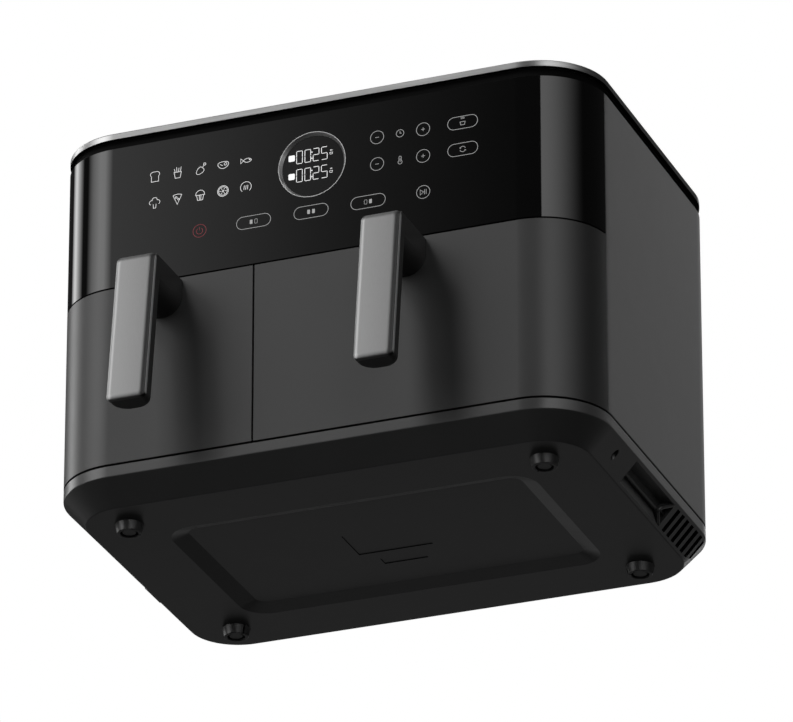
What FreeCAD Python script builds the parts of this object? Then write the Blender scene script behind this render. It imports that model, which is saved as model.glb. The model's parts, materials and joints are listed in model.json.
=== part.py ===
"""A two-drawer air fryer: a wide casing with two unequal drawers under one touch panel."""
import FreeCAD
import Part
import Sketcher
import math
import os
from types import SimpleNamespace

# Driving dimensions, in millimetres unless the name says otherwise
SIZES = {
    # casing
    "body_width": 400.0,
    "body_depth": 285.0,
    "corner_radius": 50.0,
    "shell_wall": 2.5,
    "wrap_depth": 43.2,
    "wrap_seam": 0.8,
    # heights, from the table upwards
    "foot_height": 6.5,
    "taper_height": 17.2,
    "band_height": 7.9,
    "base_seam": 1.4,
    "drawer_height": 133.4,
    "panel_seam": 1.2,
    "fascia_height": 107.9,
    "shadow_gap": 7.3,
    "rim_height": 5.2,
    # base
    "taper_inset": 15.7,
    "base_wall": 3.0,
    "base_floor": 2.5,
    "upstand_height": 7.0,
    "upstand_wall": 2.2,
    "lip_play": 0.2,
    "recess_inset_x": 65.0,
    "recess_inset_y": 62.5,
    "recess_sink": 4.0,
    "recess_slope": 12.0,
    "recess_radius": 20.0,
    "rib_width": 4.0,
    "vent_slot_width": 5.0,
    "vent_pitch": 9.4,
    "vent_first": 49.2,
    "vent_count": 7.0,
    "vent_margin": 1.6,
    "grip_front": 39.0,
    "grip_rear": 40.0,
    "grip_ledge_rise": 9.6,
    "grip_ledge_width": 4.0,
    # feet and base screws
    "foot_root_radius": 10.25,
    "foot_tip_radius": 8.75,
    "foot_ring_radius": 6.4,
    "foot_ring_depth": 1.6,
    "foot_button_radius": 5.0,
    "foot_button_drop": 0.9,
    "foot_edge_radius": 1.2,
    "foot_stem_radius": 4.0,
    "foot_stem_rise": 3.0,
    "foot_stem_play": 0.2,
    "foot_inset_x": 47.5,
    "foot_inset_y": 45.5,
    "base_screw_setback": 75.0,
    "base_screw_inset": 7.6,
    "screw_head_radius": 2.8,
    "screw_head_height": 2.2,
    "screw_shank_radius": 1.5,
    "screw_play": 0.1,
    # top
    "neck_play": 0.2,
    "neck_width": 11.0,
    "neck_drop": 8.0,
    "rim_wall": 3.0,
    "rim_play": 0.1,
    "rim_edge_radius": 1.2,
    "top_sink": 0.6,
    "top_edge_radius": 1.0,
    # touch panel
    "fascia_wall": 3.0,
    "post_radius": 4.0,
    "post_inset_x": 44.0,
    "post_inset_z": 14.0,
    "display_height": 68.8,
    "display_radius": 25.2,
    "bezel_width": 2.2,
    "bezel_slope": 1.7,
    "lens_sink": 2.4,
    "lens_thickness": 2.0,
    "lens_play": 0.1,
    "board_gap": 12.0,
    "board_thickness": 1.6,
    "board_inset_x": 82.0,
    "board_margin": 9.0,
    "board_post_inset": 8.0,
    "module_half_width": 20.0,
    "module_half_height": 17.0,
    "module_clearance": 0.6,
    # inner frame and chambers
    "frame_gap": 1.0,
    "frame_thickness": 3.0,
    "frame_inset": 6.0,
    "frame_headroom": 10.0,
    "passage_headroom": 10.0,
    "drawer_split": 42.8,
    "split_seam": 1.4,
    "divider_thickness": 14.0,
    "divider_play": 0.2,
    "liner_side_gap": 14.0,
    "liner_wall": 0.6,
    "liner_lift": 2.0,
    "liner_height": 171.0,
    "rear_space": 32.0,
    "runner_width": 8.0,
    "runner_inset": 16.0,
    "runner_margin": 5.0,
    "runner_play": 0.3,
    # drawers
    "drawer_wall": 3.0,
    "cover_thickness": 3.0,
    "cover_play": 0.3,
    "basket_side_gap": 4.5,
    "basket_back_gap": 6.0,
    "basket_lift": 4.0,
    "basket_height": 110.0,
    "basket_wall": 1.0,
    "basket_radius": 18.0,
    "basket_floor_radius": 7.0,
    "basket_lip": 1.6,
    "plate_lift": 13.8,
    "plate_thickness": 1.5,
    "plate_play": 0.7,
    "plate_hole_radius": 3.0,
    "plate_hole_pitch": 15.0,
    "plate_hole_margin": 17.0,
    "plate_slot_length": 26.0,
    "plate_slot_width": 9.0,
    "bumper_inset": 12.0,
    "bumper_foot_radius": 5.5,
    "bumper_peg_radius": 2.9,
    "bumper_peg_play": 0.1,
    "bumper_cap_radius": 4.8,
    "bumper_cap_height": 1.8,
    "bumper_play": 0.3,
    "magnet_length": 14.0,
    "magnet_depth": 6.0,
    "magnet_height": 9.0,
    "switch_length": 18.0,
    "switch_depth": 8.0,
    "switch_height": 8.0,
    "switch_rise": 2.0,
    # handles
    "left_handle_offset": 67.7,
    "right_handle_offset": 112.5,
    "handle_top_gap": 2.1,
    "handle_width": 28.8,
    "handle_reach": 49.0,
    "handle_lean": 14.7,
    "handle_drop": 115.0,
    "handle_plate_thickness": 4.0,
    "handle_plate_edge": 2.2,
    "handle_back_depth": 17.0,
    "handle_back_radius": 12.5,
    "handle_end_radius": 4.0,
    "neck_height": 26.7,
    "neck_round_play": 0.05,
    "handle_screw_radius": 2.0,
    "handle_screw_play": 0.05,
    "handle_screw_head_radius": 4.0,
    "handle_screw_head_height": 3.0,
    "handle_screw_bite": 15.0,
    "handle_screw_first": 6.4,
    "handle_screw_pitch": 12.0,
    # heating, air and power
    "left_heater_radius": 59.0,
    "right_heater_radius": 84.0,
    "heater_tube_radius": 3.5,
    "heater_spacing": 13.0,
    "heater_gap_degrees": 22.0,
    "heater_bend_radius": 9.0,
    "heater_below_roof": 27.0,
    "terminal_rise": 9.0,
    "terminal_play": 0.4,
    "guard_margin": 4.0,
    "left_guard_end_gap": 34.9,
    "right_guard_end_gap": 9.9,
    "guard_wire": 3.0,
    "guard_below_roof": 38.0,
    "guard_leg": 5.0,
    "guard_windows": 5.0,
    "fan_clearance": 3.0,
    "fan_below_roof": 18.0,
    "fan_disc": 1.2,
    "fan_blade_height": 13.0,
    "fan_blade_thickness": 1.2,
    "fan_blade_count": 8.0,
    "fan_hub_radius": 8.0,
    "shaft_radius": 3.0,
    "bearing_play": 0.05,
    "hub_play": 0.02,
    "shaft_hole_play": 2.0,
    "nut_radius": 5.8,
    "nut_height": 4.5,
    "shaft_tail": 2.0,
    "bracket_rise": 10.0,
    "bracket_thickness": 1.5,
    "bracket_radius": 34.0,
    "bracket_leg_radius": 3.0,
    "bracket_leg_inset": 4.5,
    "motor_radius": 28.0,
    "motor_height": 32.0,
    "motor_boss_radius": 9.0,
    "motor_boss_height": 3.0,
    "cooling_gap": 4.0,
    "cooling_radius": 40.0,
    "cooling_height": 11.0,
    "cooling_blade_thickness": 1.4,
    "cooling_blade_count": 7.0,
    "cooling_hub_radius": 11.0,
    "power_board_margin": 8.0,
    "power_board_width": 52.0,
    "power_board_length": 120.0,
    "power_board_rise": 8.0,
    "power_part_height": 22.0,
    "standoff_radius": 3.0,
    "sensor_radius": 2.0,
    "sensor_length": 14.0,
    "sensor_flange_radius": 6.0,
    "sensor_flange_height": 2.5,
    "sensor_inset": 14.0,
    "sensor_play": 0.1,
    # back of the casing
    "grille_inset_x": 100.0,
    "grille_height": 46.0,
    "grille_below_top": 26.0,
    "grille_radius": 6.0,
    "grille_play": 0.25,
    "grille_flange": 4.0,
    "grille_flange_thickness": 1.5,
    "grille_slot_height": 3.2,
    "grille_slot_count": 6.0,
    "grille_slot_margin": 8.0,
    "gland_inset_x": 70.0,
    "gland_height": 62.0,
    "gland_radius": 8.0,
    "gland_play": 0.15,
    "gland_flange_radius": 12.0,
    "gland_out": 4.0,
    "gland_in": 3.0,
    "gland_bore": 4.0,
}

ALL_ROUND = 360.0
NUT_SIDES = 6
CUT_OVER = 1.0  # how far a cut runs past the face it opens
LOOPS_PER_SKETCH = 8


class Size:
    """A length together with the sheet expression that drives it."""

    def __init__(self, text, value):
        self.text = text
        self.value = value

    def _with(self, other, sign, work, swapped=False):
        other = as_size(other)
        first, second = (other, self) if swapped else (self, other)
        return Size(f"({first.text} {sign} {second.text})", work(first.value, second.value))

    def __add__(self, other):
        return self._with(other, "+", lambda p, q: p + q)

    def __sub__(self, other):
        return self._with(other, "-", lambda p, q: p - q)

    def __mul__(self, other):
        return self._with(other, "*", lambda p, q: p * q)

    def __truediv__(self, other):
        return self._with(other, "/", lambda p, q: p / q)

    def __radd__(self, other):
        return self._with(other, "+", lambda p, q: p + q, True)

    def __rsub__(self, other):
        return self._with(other, "-", lambda p, q: p - q, True)

    def __rmul__(self, other):
        return self._with(other, "*", lambda p, q: p * q, True)

    def __neg__(self):
        return self * -1


def as_size(number):
    """A bare count or factor as a Size."""
    return number if isinstance(number, Size) else Size(f"{number:.9g}", float(number))


doc = FreeCAD.newDocument("AirFryer")
sheet = doc.addObject("Spreadsheet::Sheet", "Sizes")
for row, (alias, number) in enumerate(SIZES.items(), 1):
    sheet.set(f"A{row}", alias)
    sheet.set(f"B{row}", str(number))
    sheet.setAlias(f"B{row}", alias)
doc.recompute()
d = SimpleNamespace(**{alias: Size(f"Sizes.{alias}", float(sheet.get(alias))) for alias in SIZES})
pieces = []

# Each sketch plane: its role in a body's origin, and the sign of its normal along the third axis
PLANES = {"XY": ("XY_Plane", 1), "XZ": ("XZ_Plane", -1), "YZ": ("YZ_Plane", 1)}


def unit(p, q):
    """The direction from point p to point q in a sketch."""
    dx, dy = q[0] - p[0], q[1] - p[1]
    length = math.hypot(dx, dy)
    return dx / length, dy / length


def outline(*corners):
    """A closed loop through (x, y) or (x, y, radius) corners; rounded corners are square ones."""
    points = [(as_size(c[0]), as_size(c[1])) for c in corners]
    radii = [c[2] if len(c) > 2 else None for c in corners]
    count = len(corners)
    flat = [(x.value, y.value) for x, y in points]

    def turn_at(i):
        """Where the loop enters and leaves corner i, and which way its arc lies."""
        behind = unit(flat[i], flat[i - 1])
        ahead = unit(flat[i], flat[(i + 1) % count])
        radius = radii[i].value if radii[i] else 0.0
        enters = flat[i][0] + radius * behind[0], flat[i][1] + radius * behind[1]
        leaves = flat[i][0] + radius * ahead[0], flat[i][1] + radius * ahead[1]
        inward = round(behind[0] + ahead[0]), round(behind[1] + ahead[1])
        anticlockwise = behind[0] * ahead[1] - behind[1] * ahead[0] < 0
        return SimpleNamespace(enters=enters, leaves=leaves, inward=inward, anticlockwise=anticlockwise)

    def draw(first):
        turns = [turn_at(i) for i in range(count)]
        shapes, rules = [], []
        for i, turn in enumerate(turns):
            following = turns[(i + 1) % count]
            shapes.append(Part.LineSegment(flat_point(turn.leaves), flat_point(following.enters)))
        for i, turn in enumerate(turns):
            before, after = first + (i - 1) % count, first + i
            x, y = points[i]
            if not radii[i]:
                rules.append((Sketcher.Constraint("Coincident", before, 2, after, 1), None))
                rules += pinned(after, 1, x, y)
                continue
            arc = first + len(shapes)
            cx, cy = x + radii[i] * turn.inward[0], y + radii[i] * turn.inward[1]
            centre = cx.value, cy.value
            ends = (turn.enters, turn.leaves) if turn.anticlockwise else (turn.leaves, turn.enters)
            shapes.append(arc_between(centre, radii[i].value, *ends))
            order = (1, 2) if turn.anticlockwise else (2, 1)
            rules.append((Sketcher.Constraint("Tangent", before, 2, arc, order[0]), None))
            rules.append((Sketcher.Constraint("Tangent", after, 1, arc, order[1]), None))
            rules += pinned(arc, 3, cx, cy)
            rules.append((Sketcher.Constraint("Radius", arc, radii[i].value), radii[i]))
        return shapes, rules
    return draw


def flat_point(point):
    """A point of a sketch as a vector."""
    return FreeCAD.Vector(point[0], point[1], 0)


def arc_between(centre, radius, start, stop):
    """The anticlockwise arc about a centre from one point to another."""
    first = math.atan2(start[1] - centre[1], start[0] - centre[0])
    last = math.atan2(stop[1] - centre[1], stop[0] - centre[0])
    whole = Part.Circle(flat_point(centre), FreeCAD.Vector(0, 0, 1), radius)
    return Part.ArcOfCircle(whole, first, last if last > first else last + 2 * math.pi)


def circle(x, y, radius):
    """A circular loop."""
    x, y = as_size(x), as_size(y)

    def draw(first):
        shape = Part.Circle(flat_point((x.value, y.value)), FreeCAD.Vector(0, 0, 1), radius.value)
        rules = pinned(first, 3, x, y)
        rules.append((Sketcher.Constraint("Radius", first, radius.value), radius))
        return [shape], rules
    return draw


def rectangle(x0, x1, y0, y1, radius=None):
    """A rectangular loop, with rounded corners if it has a radius."""
    corners = [(x0, y0), (x1, y0), (x1, y1), (x0, y1)]
    return outline(*[(x, y, radius) if radius else (x, y) for x, y in corners])


def pinned(index, point, x, y):
    """The two rules that hold a sketch point at x, y."""
    return [(Sketcher.Constraint("DistanceX", -1, 1, index, point, x.value), x),
            (Sketcher.Constraint("DistanceY", -1, 1, index, point, y.value), y)]


class Piece:
    """One moulded, pressed or turned piece, built up feature by feature."""

    def __init__(self, label):
        self.body = doc.addObject("PartDesign::Body", label)
        self.body.Label = label
        self.body.AllowCompound = True
        pieces.append(self.body)

    def sketch(self, plane, level, loops):
        role, sign = PLANES[plane]
        sketch = self.body.newObject("Sketcher::SketchObject", "Sketch")
        origin = next(f for f in self.body.Origin.OriginFeatures if f.Role == role)
        sketch.AttachmentSupport = [(origin, "")]
        sketch.MapMode = "FlatFace"
        sketch.setExpression("AttachmentOffset.Base.z", (as_size(level) * sign).text)
        shapes, rules = [], []
        for loop in loops:
            more_shapes, more_rules = loop(len(shapes))
            shapes += more_shapes
            rules += more_rules
        sketch.addGeometry(shapes)
        sketch.addConstraint([rule for rule, size in rules])
        for i, (rule, size) in enumerate(rules):
            if size is not None:
                sketch.setExpression(f"Constraints[{i}]", size.text)
        return sketch

    def volume(self):
        tip = self.body.Tip
        return tip.Shape.Volume if tip and not tip.Shape.isNull() else 0.0

    def settle(self, before, grows):
        """Recomputes and makes sure that the last feature changed the piece the right way."""
        doc.recompute()
        after = self.volume()
        if (after > before) != grows or after == before:
            raise RuntimeError(f"{self.body.Label}: a feature left {before:.1f} at {after:.1f} mm3")
        return self

    def feature(self, kind, profile, length, flipped):
        feature = self.body.newObject(f"PartDesign::{kind}", kind)
        feature.Profile = profile
        feature.Reversed = flipped
        feature.setExpression("Length", length.text)
        return feature

    def pad(self, loops, low, high, plane="XY"):
        before = self.volume()
        sketch = self.sketch(plane, low, loops)
        self.feature("Pad", sketch, as_size(high) - low, plane == "XZ")
        return self.settle(before, True)

    def cut(self, loops, low, high, plane="XY"):
        """Cuts separate loops, a few to a sketch."""
        for i in range(0, len(loops), LOOPS_PER_SKETCH):
            before = self.volume()
            sketch = self.sketch(plane, low, loops[i:i + LOOPS_PER_SKETCH])
            self.feature("Pocket", sketch, as_size(high) - low, plane != "XZ")
            self.settle(before, False)
        return self

    def turn(self, *points):
        """Revolves a loop of (radius, height) points about the piece's own upright axis."""
        before = self.volume()
        sketch = self.sketch("XZ", 0, [outline(*points)])
        feature = self.body.newObject("PartDesign::Revolution", "Revolution")
        feature.Profile = sketch
        feature.ReferenceAxis = (sketch, ["V_Axis"])
        feature.Angle = ALL_ROUND
        return self.settle(before, True)

    def hollow_loft(self, lower, low, upper, high):
        """Cuts the space between two loops at two heights."""
        before = self.volume()
        first = self.sketch("XY", low, [lower])
        second = self.sketch("XY", high, [upper])
        feature = self.body.newObject("PartDesign::SubtractiveLoft", "Loft")
        feature.Profile = first
        feature.Sections = [second]
        feature.Ruled = True
        return self.settle(before, False)

    def round(self, radius, pick):
        """Fillets the edges that pick chooses."""
        feature = self.dress("Fillet", pick)
        feature.setExpression("Radius", radius.text)
        doc.recompute()
        return self

    def bevel(self, along, across, pick):
        """Chamfers edges by two different distances, the first one along the face that comes first."""
        feature = self.dress("Chamfer", pick)
        feature.ChamferType = "Two distances"
        feature.setExpression("Size", along.text)
        feature.setExpression("Size2", across.text)
        doc.recompute()
        return feature

    def dress(self, kind, pick):
        base = self.body.Tip
        names = [f"Edge{i}" for i, edge in enumerate(base.Shape.Edges, 1) if pick(edge)]
        if not names:
            raise RuntimeError(f"{self.body.Label}: no edge to {kind.lower()}")
        feature = self.body.newObject(f"PartDesign::{kind}", kind)
        feature.Base = (base, names)
        return feature

    def polar(self, copies):
        """Repeats the last feature about the piece's own upright axis."""
        before = self.volume()
        original = self.body.Tip
        pattern = self.body.newObject("PartDesign::PolarPattern", "PolarPattern")
        pattern.Originals = [original]
        axis = next(f for f in self.body.Origin.OriginFeatures if f.Role == "Z_Axis")
        pattern.Axis = (axis, [""])
        pattern.Angle = ALL_ROUND
        pattern.setExpression("Occurrences", copies.text)
        self.body.Tip = pattern
        return self.settle(before, True)

    def place(self, x, y, z=None):
        self.body.setExpression("Placement.Base.x", as_size(x).text)
        self.body.setExpression("Placement.Base.y", as_size(y).text)
        if z is not None:
            self.body.setExpression("Placement.Base.z", as_size(z).text)
        doc.recompute()
        return self


def near(p, q):
    """Whether two lengths agree to a hundredth of a millimetre."""
    return abs(p - q) < 0.01


def level_edge(level):
    """Picks the edges that lie flat at a height."""
    return lambda edge: near(edge.BoundBox.ZMin, level.value) and near(edge.BoundBox.ZMax, level.value)


# Places worked out from the driving dimensions
half_w = d.body_width / 2
total_reach = d.handle_reach + d.handle_lean
front = (total_reach - d.body_depth - d.gland_out) / 2
back = front + d.body_depth
mid_y = front + d.body_depth / 2
wrap = front + d.wrap_depth

base_z = d.foot_height
taper_z = base_z + d.taper_height
base_top = taper_z + d.band_height
drawer_z = base_top + d.base_seam
drawer_top = drawer_z + d.drawer_height
handle_top = drawer_top - d.handle_top_gap
fascia_z = drawer_top + d.panel_seam
fascia_top = fascia_z + d.fascia_height
rim_z = fascia_top + d.shadow_gap
top_z = rim_z + d.rim_height

frame_y = wrap + d.frame_gap
frame_back = frame_y + d.frame_thickness
liner_y = frame_back
liner_back = back - d.rear_space
liner_z = drawer_z + d.liner_lift
liner_top = liner_z + d.liner_height
roof = liner_top - d.liner_wall
split_x = -d.drawer_split
chamber_y = (liner_y + liner_back) / 2

basket_z = liner_z + d.liner_wall + d.basket_lift
basket_top = basket_z + d.basket_height
tray_floor = base_z + d.recess_sink + d.base_floor
display_z = fascia_z + d.display_height
gland_x = half_w - d.gland_inset_x
board_half = half_w - d.board_inset_x
grille_half = half_w - d.grille_inset_x


def side_of(name, x0, x1, liner_x0, liner_x1, handle_x, heater_radius, guard_end_gap):
    """The places that one drawer and its chamber share."""
    fan_radius = heater_radius - d.heater_spacing - d.heater_tube_radius - d.fan_clearance
    return SimpleNamespace(name=name, x0=x0, x1=x1, liner_x0=liner_x0, liner_x1=liner_x1,
                           mid=(liner_x0 + liner_x1) / 2, handle_x=handle_x,
                           heater_radius=heater_radius, fan_radius=fan_radius,
                           guard_end_gap=guard_end_gap)


sides = [
    side_of("left", -half_w, split_x - d.split_seam / 2,
            d.liner_side_gap - half_w, split_x - d.divider_thickness / 2,
            split_x - d.left_handle_offset, d.left_heater_radius, d.left_guard_end_gap),
    side_of("right", split_x + d.split_seam / 2, half_w,
            split_x + d.divider_thickness / 2, half_w - d.liner_side_gap,
            split_x + d.right_handle_offset, d.right_heater_radius, d.right_guard_end_gap),
]


def plan(inset=0):
    """The casing's outline from above, moved in by an inset."""
    radius = d.corner_radius - inset
    return rectangle(inset - half_w, half_w - inset, front + inset, back - inset, radius)


def across(y0, y1):
    """A loop as wide as the casing and more, between two depths."""
    return rectangle(-half_w - CUT_OVER, half_w + CUT_OVER, y0, y1)


def keep_depth(piece, y0, y1, low, high):
    """Cuts away what lies in front of y0 and behind y1."""
    piece.cut([across(front - CUT_OVER, y0)], low - CUT_OVER, high + CUT_OVER)
    piece.cut([across(y1, back + CUT_OVER)], low - CUT_OVER, high + CUT_OVER)


def both(loop_at):
    """The same loop on the right and the left."""
    return [loop_at(1), loop_at(-1)]


def mirrored(sign, x0, x1, y0, y1):
    """A rectangle on the right, or its mirror image on the left."""
    return rectangle(x0, x1, y0, y1) if sign > 0 else rectangle(-x1, -x0, y0, y1)


def base_tray():
    """The base: a tapered tub with a sunken panel underneath, hand grips and side vents."""
    tray = Piece("base_tray")
    tray.pad([plan()], base_z, base_top)
    tray.bevel(d.taper_height, d.taper_inset, level_edge(base_z))
    low_inset = d.taper_inset + d.base_wall
    tray.pad([plan(d.shell_wall + d.lip_play)], base_top, base_top + d.upstand_height)
    tray.cut([plan(d.shell_wall + d.lip_play + d.upstand_wall)], taper_z, base_top + d.upstand_height)
    tray.cut([across(front - CUT_OVER, frame_back)], base_top, base_top + d.upstand_height)
    tray.cut([plan(low_inset)], tray_floor, taper_z)
    half_r = half_w - d.recess_inset_x
    y0, y1 = front + d.recess_inset_y, back - d.recess_inset_y
    slope = d.recess_slope
    outer = rectangle(-half_r, half_r, y0, y1, d.recess_radius)
    inner = rectangle(slope - half_r, half_r - slope, y0 + slope, y1 - slope, d.recess_radius - slope)
    tray.hollow_loft(outer, base_z, inner, base_z + d.recess_sink)
    ribs = [rectangle(x - d.rib_width / 2, x + d.rib_width / 2, frame_back, liner_back)
            for side in sides for x in (side.liner_x0 + d.runner_inset, side.liner_x1 - d.runner_inset)]
    tray.pad(ribs, tray_floor, liner_z)
    tray.pad([rectangle(low_inset - half_w, half_w - low_inset, frame_y, frame_back)], tray_floor, base_top)
    divider_rib = rectangle(split_x - d.rib_width / 2, split_x + d.rib_width / 2, frame_back, liner_back)
    tray.pad([divider_rib], tray_floor, liner_z)

    vent_in, vent_out = half_w - d.taper_inset + d.vent_margin, half_w - d.vent_margin
    inlet = half_w - low_inset - CUT_OVER
    vent_top = taper_z - d.vent_margin
    slots = []
    inlets = []
    for i in range(int(d.vent_count.value)):
        y0 = mid_y + d.vent_first + d.vent_pitch * i - d.vent_slot_width / 2
        slots += both(lambda s: mirrored(s, vent_in, vent_out, y0, y0 + d.vent_slot_width))
        inlets += both(lambda s: mirrored(s, inlet, vent_in, y0, y0 + d.vent_slot_width))
    tray.cut(slots, base_z - CUT_OVER, vent_top)
    tray.cut(inlets, tray_floor, vent_top)

    grip_y0, grip_y1 = mid_y - d.grip_front, mid_y + d.grip_rear
    ledge = vent_in + d.grip_ledge_width
    tray.cut(both(lambda s: mirrored(s, vent_in, ledge, grip_y0, grip_y1)),
             base_z - CUT_OVER, base_z + d.grip_ledge_rise)
    tray.cut(both(lambda s: mirrored(s, ledge, vent_out, grip_y0, grip_y1)), base_z - CUT_OVER, vent_top)

    spots = screw_spots()
    boss = d.screw_head_radius + d.screw_play + d.base_wall / 2
    tray.pad([circle(x, y, boss) for x, y in spots], taper_z, base_top)
    tray.cut([circle(x, y, d.screw_head_radius + d.screw_play) for x, y in spots],
             base_z - CUT_OVER, taper_z)
    tray.cut([circle(x, y, d.screw_shank_radius + d.screw_play) for x, y in spots], taper_z, base_top)
    stem_room = d.foot_stem_radius + d.foot_stem_play
    tray.cut([circle(x, y, stem_room) for x, y in foot_spots().values()],
             base_z - CUT_OVER, tray_floor + d.foot_stem_rise + d.foot_stem_play)


def foot_spots():
    """Where the four feet stand."""
    x = half_w - d.foot_inset_x
    ahead, behind = front + d.foot_inset_y, back - d.foot_inset_y
    return {"front_left": (-x, ahead), "front_right": (x, ahead),
            "rear_left": (-x, behind), "rear_right": (x, behind)}


def screw_spots():
    """Where the two base screws go up through the taper."""
    x, y = half_w - d.base_screw_inset, front + d.base_screw_setback
    return [(x, y), (-x, y)]


def feet():
    """Four push-in rubber feet, each a ring round a sunken button."""
    for name, (x, y) in foot_spots().items():
        foot = Piece(f"foot_{name}")
        stem_top = tray_floor + d.foot_stem_rise
        foot.turn((0, d.foot_button_drop), (d.foot_button_radius, d.foot_button_drop),
                  (d.foot_button_radius, d.foot_ring_depth), (d.foot_ring_radius, d.foot_ring_depth),
                  (d.foot_ring_radius, 0), (d.foot_tip_radius - d.foot_edge_radius, 0),
                  (d.foot_tip_radius, d.foot_edge_radius), (d.foot_root_radius, base_z),
                  (d.foot_stem_radius, base_z), (d.foot_stem_radius, stem_top), (0, stem_top))
        foot.place(x, y)


def base_screws():
    """The two screws that pull the base up to the casing."""
    screws = Piece("base_screws")
    spots = screw_spots()
    screws.pad([circle(x, y, d.screw_head_radius) for x, y in spots], taper_z - d.screw_head_height, taper_z)
    screws.pad([circle(x, y, d.screw_shank_radius) for x, y in spots], taper_z, base_top)


def side_rear_shell():
    """The sides and back in one wrap, open at the front, with the air outlet and the cord's hole."""
    shell = Piece("side_rear_shell")
    shell.pad([plan(), plan(d.shell_wall)], drawer_z, fascia_top)
    shell.cut([across(front - CUT_OVER, wrap + d.wrap_seam)], drawer_z - CUT_OVER, fascia_top + CUT_OVER)
    shell.cut([grille_loop(0)], back - d.shell_wall - CUT_OVER, back + CUT_OVER, "XZ")
    shell.cut([circle(gland_x, d.gland_height, d.gland_radius + d.gland_play)],
              back - d.shell_wall - CUT_OVER, back + CUT_OVER, "XZ")


def grille_loop(inset):
    """The air outlet's outline, seen from the back."""
    high = fascia_top - d.grille_below_top - inset
    low = fascia_top - d.grille_below_top - d.grille_height + inset
    half = grille_half - inset
    return rectangle(-half, half, low, high, d.grille_radius - inset)


def rear_grille():
    """The slatted air outlet, clipped in from inside."""
    grille = Piece("rear_grille")
    inner = back - d.shell_wall
    grille.pad([grille_loop(-d.grille_flange)], inner - d.grille_flange_thickness, inner, "XZ")
    grille.pad([grille_loop(d.grille_play)], inner, back, "XZ")
    low = fascia_top - d.grille_below_top - d.grille_height + d.grille_slot_margin
    span = d.grille_height - d.grille_slot_margin * 2 - d.grille_slot_height
    steps = int(d.grille_slot_count.value) - 1
    slots = []
    for i in range(steps + 1):
        z0 = low + span * i / steps
        slots.append(rectangle(d.grille_slot_margin - grille_half,
                               grille_half - d.grille_slot_margin, z0, z0 + d.grille_slot_height))
    grille.cut(slots, inner - d.grille_flange_thickness - CUT_OVER, back + CUT_OVER, "XZ")


def cord_gland():
    """The bushing that the mains cord comes out of."""
    gland = Piece("cord_gland")
    inner = back - d.shell_wall
    at = gland_x, d.gland_height
    gland.pad([circle(*at, d.gland_flange_radius)], back, back + d.gland_out, "XZ")
    gland.pad([circle(*at, d.gland_radius)], inner, back, "XZ")
    gland.pad([circle(*at, d.gland_flange_radius)], inner - d.gland_in, inner, "XZ")
    gland.cut([circle(*at, d.gland_bore)], inner - d.gland_in - CUT_OVER, back + d.gland_out + CUT_OVER, "XZ")


def top_pieces():
    """The dark neck under the lid, the bright rim and the flat top."""
    neck = Piece("upper_frame")
    outer = d.fascia_wall + d.neck_play
    neck.pad([plan(outer), plan(outer + d.neck_width)], fascia_top - d.neck_drop, rim_z)
    rim = Piece("lid_rim")
    rim.pad([plan(), plan(d.rim_wall)], rim_z, top_z)
    rim.round(d.rim_edge_radius, lambda e: level_edge(top_z)(e) and reaches(e, half_w))
    cover = Piece("top_cover")
    cover.pad([plan(d.rim_wall + d.rim_play)], rim_z, top_z - d.top_sink)
    cover.round(d.top_edge_radius, level_edge(top_z - d.top_sink))


def reaches(edge, half_width):
    """Whether an edge lies on the casing's own outline and not on one moved in from it."""
    box = edge.BoundBox
    outside = [near(abs(box.XMin), half_width.value), near(abs(box.XMax), half_width.value),
               near(box.YMin, front.value), near(box.YMax, back.value)]
    return any(outside)


def front_frame():
    """The upright wall behind the drawers, with a passage for each basket."""
    frame = Piece("front_frame")
    frame.pad([plan(d.frame_inset)], base_top, fascia_top - d.frame_headroom)
    keep_depth(frame, frame_y, frame_back, base_top, fascia_top)
    passages = [rectangle(s.liner_x0 + d.liner_wall, s.liner_x1 - d.liner_wall,
                          liner_z + d.liner_wall, basket_top + d.passage_headroom) for s in sides]
    frame.cut(passages, frame_y - CUT_OVER, frame_back + CUT_OVER, "XZ")


def front_fascia():
    """The glossy touch panel that wraps round both front corners, with posts at its back."""
    fascia = Piece("front_fascia")
    fascia.pad([plan(), plan(d.fascia_wall)], fascia_z, fascia_top)
    fascia.cut([across(wrap, back + CUT_OVER)], fascia_z - CUT_OVER, fascia_top + CUT_OVER)
    skin = front + d.fascia_wall
    x = half_w - d.post_inset_x
    posts = [circle(sx, z, d.post_radius) for sx in (-x, x)
             for z in (fascia_z + d.post_inset_z, fascia_top - d.post_inset_z - d.frame_headroom)]
    fascia.pad(posts, skin - d.fascia_wall / 2, frame_y, "XZ")
    fascia.pad([circle(bx, z, d.post_radius) for bx, z in board_posts()],
               skin - d.fascia_wall / 2, skin + d.board_gap, "XZ")
    fascia.cut([circle(0, display_z, d.display_radius)], front - CUT_OVER, skin + CUT_OVER, "XZ")


def board_posts():
    """Where the control board rests on the touch panel's short posts."""
    x = board_half - d.board_post_inset
    inset = d.board_margin + d.board_post_inset
    return [(sx, z) for sx in (-x, x) for z in (fascia_z + inset, fascia_top - inset)]


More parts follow.
